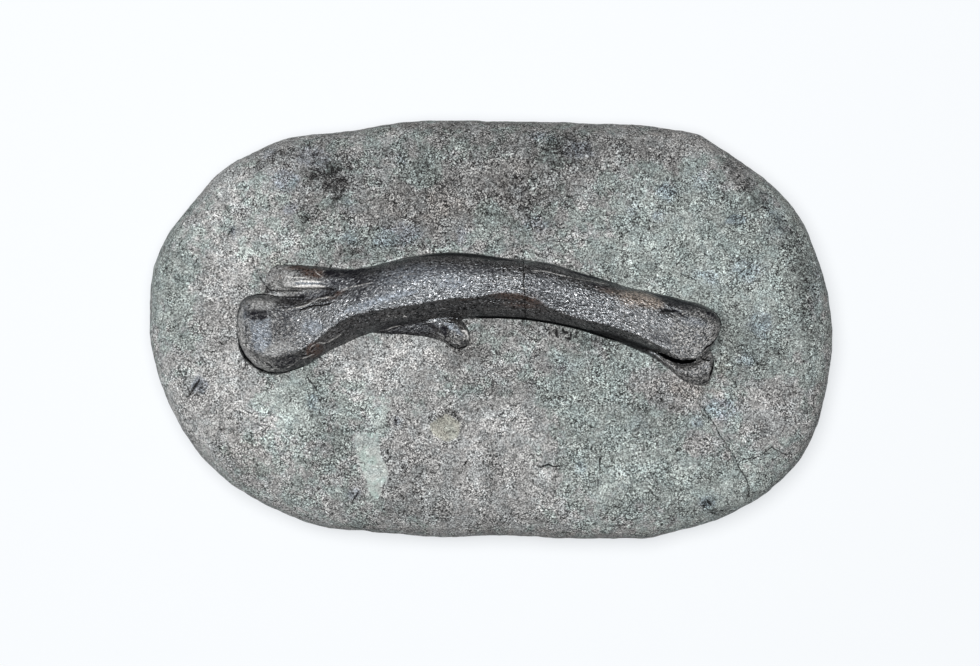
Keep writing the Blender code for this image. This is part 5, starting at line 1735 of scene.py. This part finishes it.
@dataclass
class RockSlab:
    """The block of sandstone, with the pocket that the bone lies in."""

    length: float = 280.0
    width: float = 171.0
    top: float = 34.0
    sides: int = 192
    rings: int = 90
    voxel: float = 1.0
    relief_start: float = 22.0
    swells: Rows = (
        (-69, 60, 13, 10, -2.8, 10), (-57, 66.5, 9, 7, -2), (-66, 51, 5, 3.5, 1), (6, 60, 30, 13, -1.7, -8),
        (26, 76, 17, 6, -1.3), (-108, 18, 20, 30, 0.9), (-67, -28, 9, 6, -1, 20),
        (-70, -47, 13, 6, -1.1, -10), (-19.5, -40.5, 6, 5.5, 1.1), (-19.5, -33, 9, 4, -0.8),
        (10, -30, 24, 16, 0.8, 15), (70, 55, 26, 12, 0.8, -20), (104, -8, 12, 26, -0.8),
        (60, -52, 30, 10, 0.9, 12), (-98, -46, 22, 7, -0.9, -38),
    )
    splits: tuple[tuple[Point, ...], ...] = (
        ((-121.5, -26.5), (-119.5, -22.5), (-116.5, -19.5)),
        ((83.5, -28.5), (89.5, -39.0), (100.0, -53.0), (103.8, -59.0), (104.5, -65.5)),
    )
    plan_size: Point = (279.6, 171.4)
    calm_sides: float = 0.45
    flake_levels: Point = (-0.10, 0.22)
    flake_edge: float = 0.05
    flake_rise: float = 0.8
    split_half_width: float = 2.2
    split_depth: float = 1.3
    shelf_edge: tuple[Point, ...] = (
        (38.0, -81.0), (49.0, -76.5), (60.0, -69.0), (68.0, -64.5), (80.0, -63.0), (92.0, -60.0))
    shelf_drop: float = 1.4
    shelf_slope: float = 2.5
    shelf_fade: float = 8.0
    broad: Point = (34.0, 1.1)
    lump: Point = (12.0, 0.7)
    lump_shift: tuple[float, float, float] = (7.0, 3.0, 1.0)
    fine: Rows = ((5.5, 2, 0.26), (2.4, 9, 0.16))
    pits: tuple[float, ...] = (2.9, 31.0, 0.42, 1.6)
    flake_noise: Rows = ((24, 63, 1), (7, 71, 0.4))
    mark_wander: Point = (4.5, 1.3)
    line_wander: Point = (1.8, 0.35)
    near_a_crack: float = 1.6
    near_a_clast: float = 1.0
    refined_from: float = 24.0
    carved_from: float = 20.0
    carved_fade: float = 8.0
    clast_edge: Point = (1.15, 0.5)
    clast_ditch: Place = (1.2, 0.16, 0.8)
    tangent_step: float = 0.25
    cutter_share: float = 0.2
    crease: float = 50.0
    even_green: float = 0.42
    rim_height: float = 32.0
    rim_reach: float = 6.0
    rim_start: float = -110.0
    rim_fade: float = 50.0
    # Painted shade on the low rim, and painted light on its tilted faces.
    rim_shade: float = 0.30
    rim_brown: float = 0.40
    rim_painted_light: float = 0.20
    rim_most: float = 0.30
    pocket_gap: float = 0.12
    wide_gap: Stroke = Stroke(
        ((-101.6, -4.0), (-100.4, -9.0), (-97.7, -13.4), (-94.4, -16.4), (-90.0, -17.6), (-83.7, -17.8),
         (-79.0, -16.6)), 2.4, 0.5)

    def build(self, bone: Object) -> Object:
        """Model the slab.

        Args:
            bone: the finished bone, which cuts the pocket.

        Returns:
            The finished piece, painted but not dressed.
        """
        slab = self.blank()
        apply_modifier(slab, 'REMESH', mode='VOXEL', voxel_size=self.voxel * MM)
        self.weather(slab)
        self.refine_near_cracks(slab)
        self.carve(slab)
        self.saw_base(slab)
        self.cut_pocket(slab, bone)
        self.paint_marks(slab)
        pick(slab)
        bpy.ops.object.shade_smooth_by_angle(angle=math.radians(self.crease))
        return slab

    def blank(self) -> Object:
        """Model the closed block from its outline and the profile of its side."""
        outline = np.array(SLAB_OUTLINE) * (0.5 * self.length, 0.5 * self.width)
        turns = np.arange(self.sides) / self.sides * len(outline)
        step = self.tangent_step
        edge = smooth_loop(outline, turns)
        tangent = smooth_loop(outline, turns + step) - smooth_loop(outline, turns - step)
        inward = np.column_stack((-tangent[:, 1], tangent[:, 0]))
        inward /= np.linalg.norm(inward, axis=1)[:, None]
        steps = np.linspace(0.0, len(SLAB_PROFILE) - 1.0, self.rings)
        rings = np.empty((self.rings, self.sides, 3))
        for ring, (height, inset, share) in zip(rings, smooth_rows(SLAB_PROFILE, steps)):
            ring[:, :2] = (edge + inward * inset) * share
            ring[:, 2] = height
        return stack_rings("rock_slab", rings)

    def relief(self, plan: Array) -> Array:
        """Give the height of the weathered face over its mean level at points in the plan."""
        height = mounds(self.swells, plan)
        for split in self.splits:
            height -= self.split_depth * Stroke(split, self.split_half_width).cover(plan)
        edge_x, edge_y = np.array(self.shelf_edge).T
        below = np.clip((np.interp(plan[:, 0], edge_x, edge_y) - plan[:, 1]) / self.shelf_slope, 0.0, 1.0)
        past_start = np.clip((plan[:, 0] - edge_x[0]) / self.shelf_fade, 0.0, 1.0)
        before_end = np.clip((edge_x[-1] - plan[:, 0]) / self.shelf_fade, 0.0, 1.0)
        return height - self.shelf_drop * below * past_start * before_end

    def flakes(self, plan: Array) -> Array:
        """Say how many of the two loose skins of rock are left at points in the plan, from 0 to 1."""
        flat = np.column_stack((plan, np.zeros(len(plan))))
        field = layered_noise(flat, self.flake_noise)
        return 0.5 * sum(smooth_step((field - level) / self.flake_edge) for level in self.flake_levels)

    def weather(self, slab: Object) -> None:
        """Give the block the relief of its face and its natural roughness."""
        places = read_places(slab)
        normals = read_vectors(slab.data, "normal")
        upward = np.clip((places[:, 2] - self.relief_start) / (self.top - self.relief_start), 0.0, 1.0)
        skins = self.flake_rise * (self.flakes(places[:, :2]) - 0.5)
        places[:, 2] += (self.relief(places[:, :2]) + skins) * upward ** 2
        rough = self.broad[1] * noise_at(places, self.broad[0])
        rough += self.lump[1] * noise_at(places, self.lump[0], np.array(self.lump_shift))
        rough *= np.where(places[:, 2] < self.relief_start, self.calm_sides, 1.0)
        places += normals * rough[:, None]
        size, shift, cut, depth = self.pits
        pits = np.clip(noise_at(places, size, shift) - cut, 0.0, 1.0)
        places += normals * (layered_noise(places, self.fine) - depth * pits)[:, None]
        low, high = places[:, :2].min(axis=0), places[:, :2].max(axis=0)
        places[:, :2] = (places[:, :2] - 0.5 * (low + high)) * np.divide(self.plan_size, high - low)
        write_places(slab, places)

    def refine_near_cracks(self, slab: Object) -> None:
        """Give the mesh finer faces where cracks and little stones are."""
        middles = face_middles(slab)
        wanted = np.zeros(len(middles), dtype=bool)
        for crack in ROCK_CRACKS:
            wanted |= Stroke(crack.points, self.near_a_crack).cover(middles[:, :2]) > 0.0
        for x, y, radius, _ in CLASTS:
            wanted |= np.hypot(middles[:, 0] - x, middles[:, 1] - y) < radius + self.near_a_clast
        wanted &= middles[:, 2] > self.refined_from
        refine(slab, wanted, 2)

    def carve(self, slab: Object) -> None:
        """Cut the cracks and raise the little stones."""
        places = read_places(slab)
        plan = wander(places, *self.line_wander)
        change = np.zeros(len(places))
        for crack in ROCK_CRACKS:
            change -= crack.depth * crack.cover(plan)
        edge, fade = self.clast_edge
        ring, width, depth = self.clast_ditch
        for x, y, radius, rise in CLASTS:
            reach = np.hypot(plan[:, 0] - x, plan[:, 1] - y) / radius
            stone = smooth_step((edge - reach) / fade)
            change += rise * (stone - depth * np.exp(-((reach - ring) / width) ** 2))
        shown = smooth_step((places[:, 2] - self.carved_from) / self.carved_fade)
        places[:, 2] += change * shown
        write_places(slab, places)

    def saw_base(self, slab: Object) -> None:
        """Cut the block flat at the base."""
        pick(slab)
        bpy.ops.object.mode_set(mode='EDIT')
        bpy.ops.mesh.select_all(action='SELECT')
        bpy.ops.mesh.bisect(plane_co=(0.0, 0.0, 0.0), plane_no=(0.0, 0.0, 1.0), use_fill=True,
                            clear_inner=True, clear_outer=False, threshold=1e-6)
        bpy.ops.object.mode_set(mode='OBJECT')
        places = read_places(slab)
        places[:, 2] = np.maximum(places[:, 2], 0.0)
        write_places(slab, places)

    def cut_pocket(self, slab: Object, bone: Object) -> None:
        """Cut the bone's pocket and drop any crumb of rock that the cut leaves loose."""
        pick(bone)
        bpy.ops.object.duplicate()
        cutter = bpy.context.object
        cutter.name = "pocket_cutter"
        apply_modifier(cutter, 'DECIMATE', ratio=self.cutter_share)
        places = read_places(cutter)
        normals = read_vectors(cutter.data, "normal")
        gap = self.pocket_gap + self.wide_gap.cover(places[:, :2])
        write_places(cutter, places + normals * gap[:, None])
        apply_modifier(slab, 'BOOLEAN', operation='DIFFERENCE', solver='MANIFOLD', object=cutter)
        bpy.data.objects.remove(cutter)
        self.drop_crumbs(slab)

    def drop_crumbs(self, slab: Object) -> None:
        """Keep only the largest body: what is linked to the vertex at the far left-hand end."""
        pick(slab)
        bpy.ops.object.mode_set(mode='EDIT')
        bpy.ops.mesh.select_mode(type='VERT')
        bpy.ops.mesh.select_all(action='DESELECT')
        bpy.ops.object.mode_set(mode='OBJECT')
        chosen = np.zeros(len(slab.data.vertices), dtype=bool)
        chosen[np.argmin(read_places(slab)[:, 0])] = True
        slab.data.vertices.foreach_set("select", chosen)
        bpy.ops.object.mode_set(mode='EDIT')
        bpy.ops.mesh.select_linked()
        bpy.ops.mesh.select_all(action='INVERT')
        bpy.ops.mesh.delete(type='VERT')
        bpy.ops.object.mode_set(mode='OBJECT')

    def paint_marks(self, slab: Object) -> None:
        """Paint the marks of the weathered face."""
        places = read_places(slab)
        plan = wander(places, *self.mark_wander)
        narrow = wander(places, *self.line_wander)
        covers = {mark: strongest(shapes, plan) for mark, shapes in ROCK_PAINT.items()}
        for mark in (RockMark.SCAR, RockMark.SHINE):
            covers[mark] = strongest(ROCK_PAINT[mark], narrow)
        covers[RockMark.TONE] = PERCENT * mounds(ROCK_TONES, plan)
        # Painted light: the tilted faces of the rim are lightened.
        tilt = np.clip(1.0 - read_vectors(slab.data, "normal")[:, 2], 0.0, self.rim_most)
        covers[RockMark.TONE] += self.rim_painted_light * tilt
        covers[RockMark.GREEN] = np.clip(self.even_green + PERCENT * mounds(ROCK_GREENS, plan), 0.0, 1.0)
        # Painted shade: the rim low on the side is darkened and browned, fading out towards the left end,
        # which faces the light.
        rim = smooth_step((self.rim_height - places[:, 2]) / self.rim_reach)
        rim *= smooth_step((places[:, 0] - self.rim_start) / self.rim_fade)
        covers[RockMark.DARK] = np.maximum(covers[RockMark.DARK], self.rim_shade * rim)
        covers[RockMark.BROWN] = np.maximum(covers[RockMark.BROWN], self.rim_brown * rim)
        # Painted shade: the rock is darkened along the carved cracks.
        covers[RockMark.CRACK] = strongest(ROCK_CRACKS, narrow)
        covers[RockMark.FLAKE] = self.flakes(narrow)
        for mark, cover in covers.items():
            paint(slab, mark.value, cover)

    def dress(self, slab: Object, effects: SharedEffects) -> None:
        """Give the slab its finish and place in the model."""
        dress_in(slab, SandstoneFinish().build(effects))
        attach(slab, "root")
        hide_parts("matrix_slab")


@dataclass
class Studio:
    """The white floor, the soft overhead light and the camera straight above. Sizes are in metres."""

    floor_size: float = 8.0
    box_height: float = 1.7
    box_size: float = 1.0
    box_shift: Point = (-0.12, 0.13)
    box_power: float = 43.0
    fill_colour: Colour = (0.92, 0.96, 1.0)
    fill_strength: float = 0.08
    camera_place: tuple[float, float, float] = (-0.00041, -0.00144, 1.25)
    lens: float = 110.8
    sensor: float = 36.0

    def build(self) -> None:
        """Make the camera, the floor and the light."""
        self.make_camera()
        self.make_floor()
        self.make_light()

    def make_camera(self) -> None:
        """Look straight down from above the slab."""
        bpy.ops.object.camera_add(location=self.camera_place, rotation=(0.0, 0.0, 0.0))
        camera = bpy.context.object
        camera.name = "overhead_camera"
        camera.data.sensor_width = self.sensor
        camera.data.lens = self.lens
        bpy.context.scene.camera = camera

    def make_floor(self) -> None:
        """Lay the floor under the slab."""
        deselect_all()
        bpy.ops.mesh.primitive_plane_add(size=self.floor_size)
        floor = bpy.context.object
        floor.name = "studio_floor"
        dress_in(floor, FloorFinish().build())

    def make_light(self) -> None:
        """Hang one large soft light overhead, with a weak even fill round it."""
        bpy.ops.object.light_add(type='AREA', location=(*self.box_shift, self.box_height))
        box = bpy.context.object
        box.name = "overhead_softbox"
        box.data.shape = 'DISK'
        box.data.size = self.box_size
        box.data.energy = self.box_power
        box.visible_camera = False
        world = bpy.data.worlds.new("even_fill")
        world.use_nodes = True
        sky = world.node_tree.nodes["Background"]
        sky.inputs["Color"].default_value = (*self.fill_colour, 1.0)
        sky.inputs["Strength"].default_value = self.fill_strength
        bpy.context.scene.world = world
        bpy.context.scene.view_settings.view_transform = 'Standard'


def report(piece: Object) -> None:
    """Log a piece's size and triangle count."""
    piece.data.calc_loop_triangles()
    size = " x ".join(f"{value / MM:.1f}" for value in piece.dimensions)
    LOG.info("%s: %s mm, %d triangles", piece.name, size, len(piece.data.loop_triangles))


def main() -> None:
    """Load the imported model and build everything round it."""
    logging.basicConfig(level=logging.INFO, format="%(name)s: %(message)s")
    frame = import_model()
    LOG.info("packed nodes: %s", ", ".join(sorted(frame["nodes"])))
    Studio().build()
    effects = SharedEffects()
    effects.build()
    femur = FossilFemur()
    bone = femur.build()
    report(bone)
    rock = RockSlab()
    slab = rock.build(bone)
    report(slab)
    femur.dress(bone, effects)
    rock.dress(slab, effects)
    bpy.context.view_layer.update()


if __name__ == "__main__":
    main()
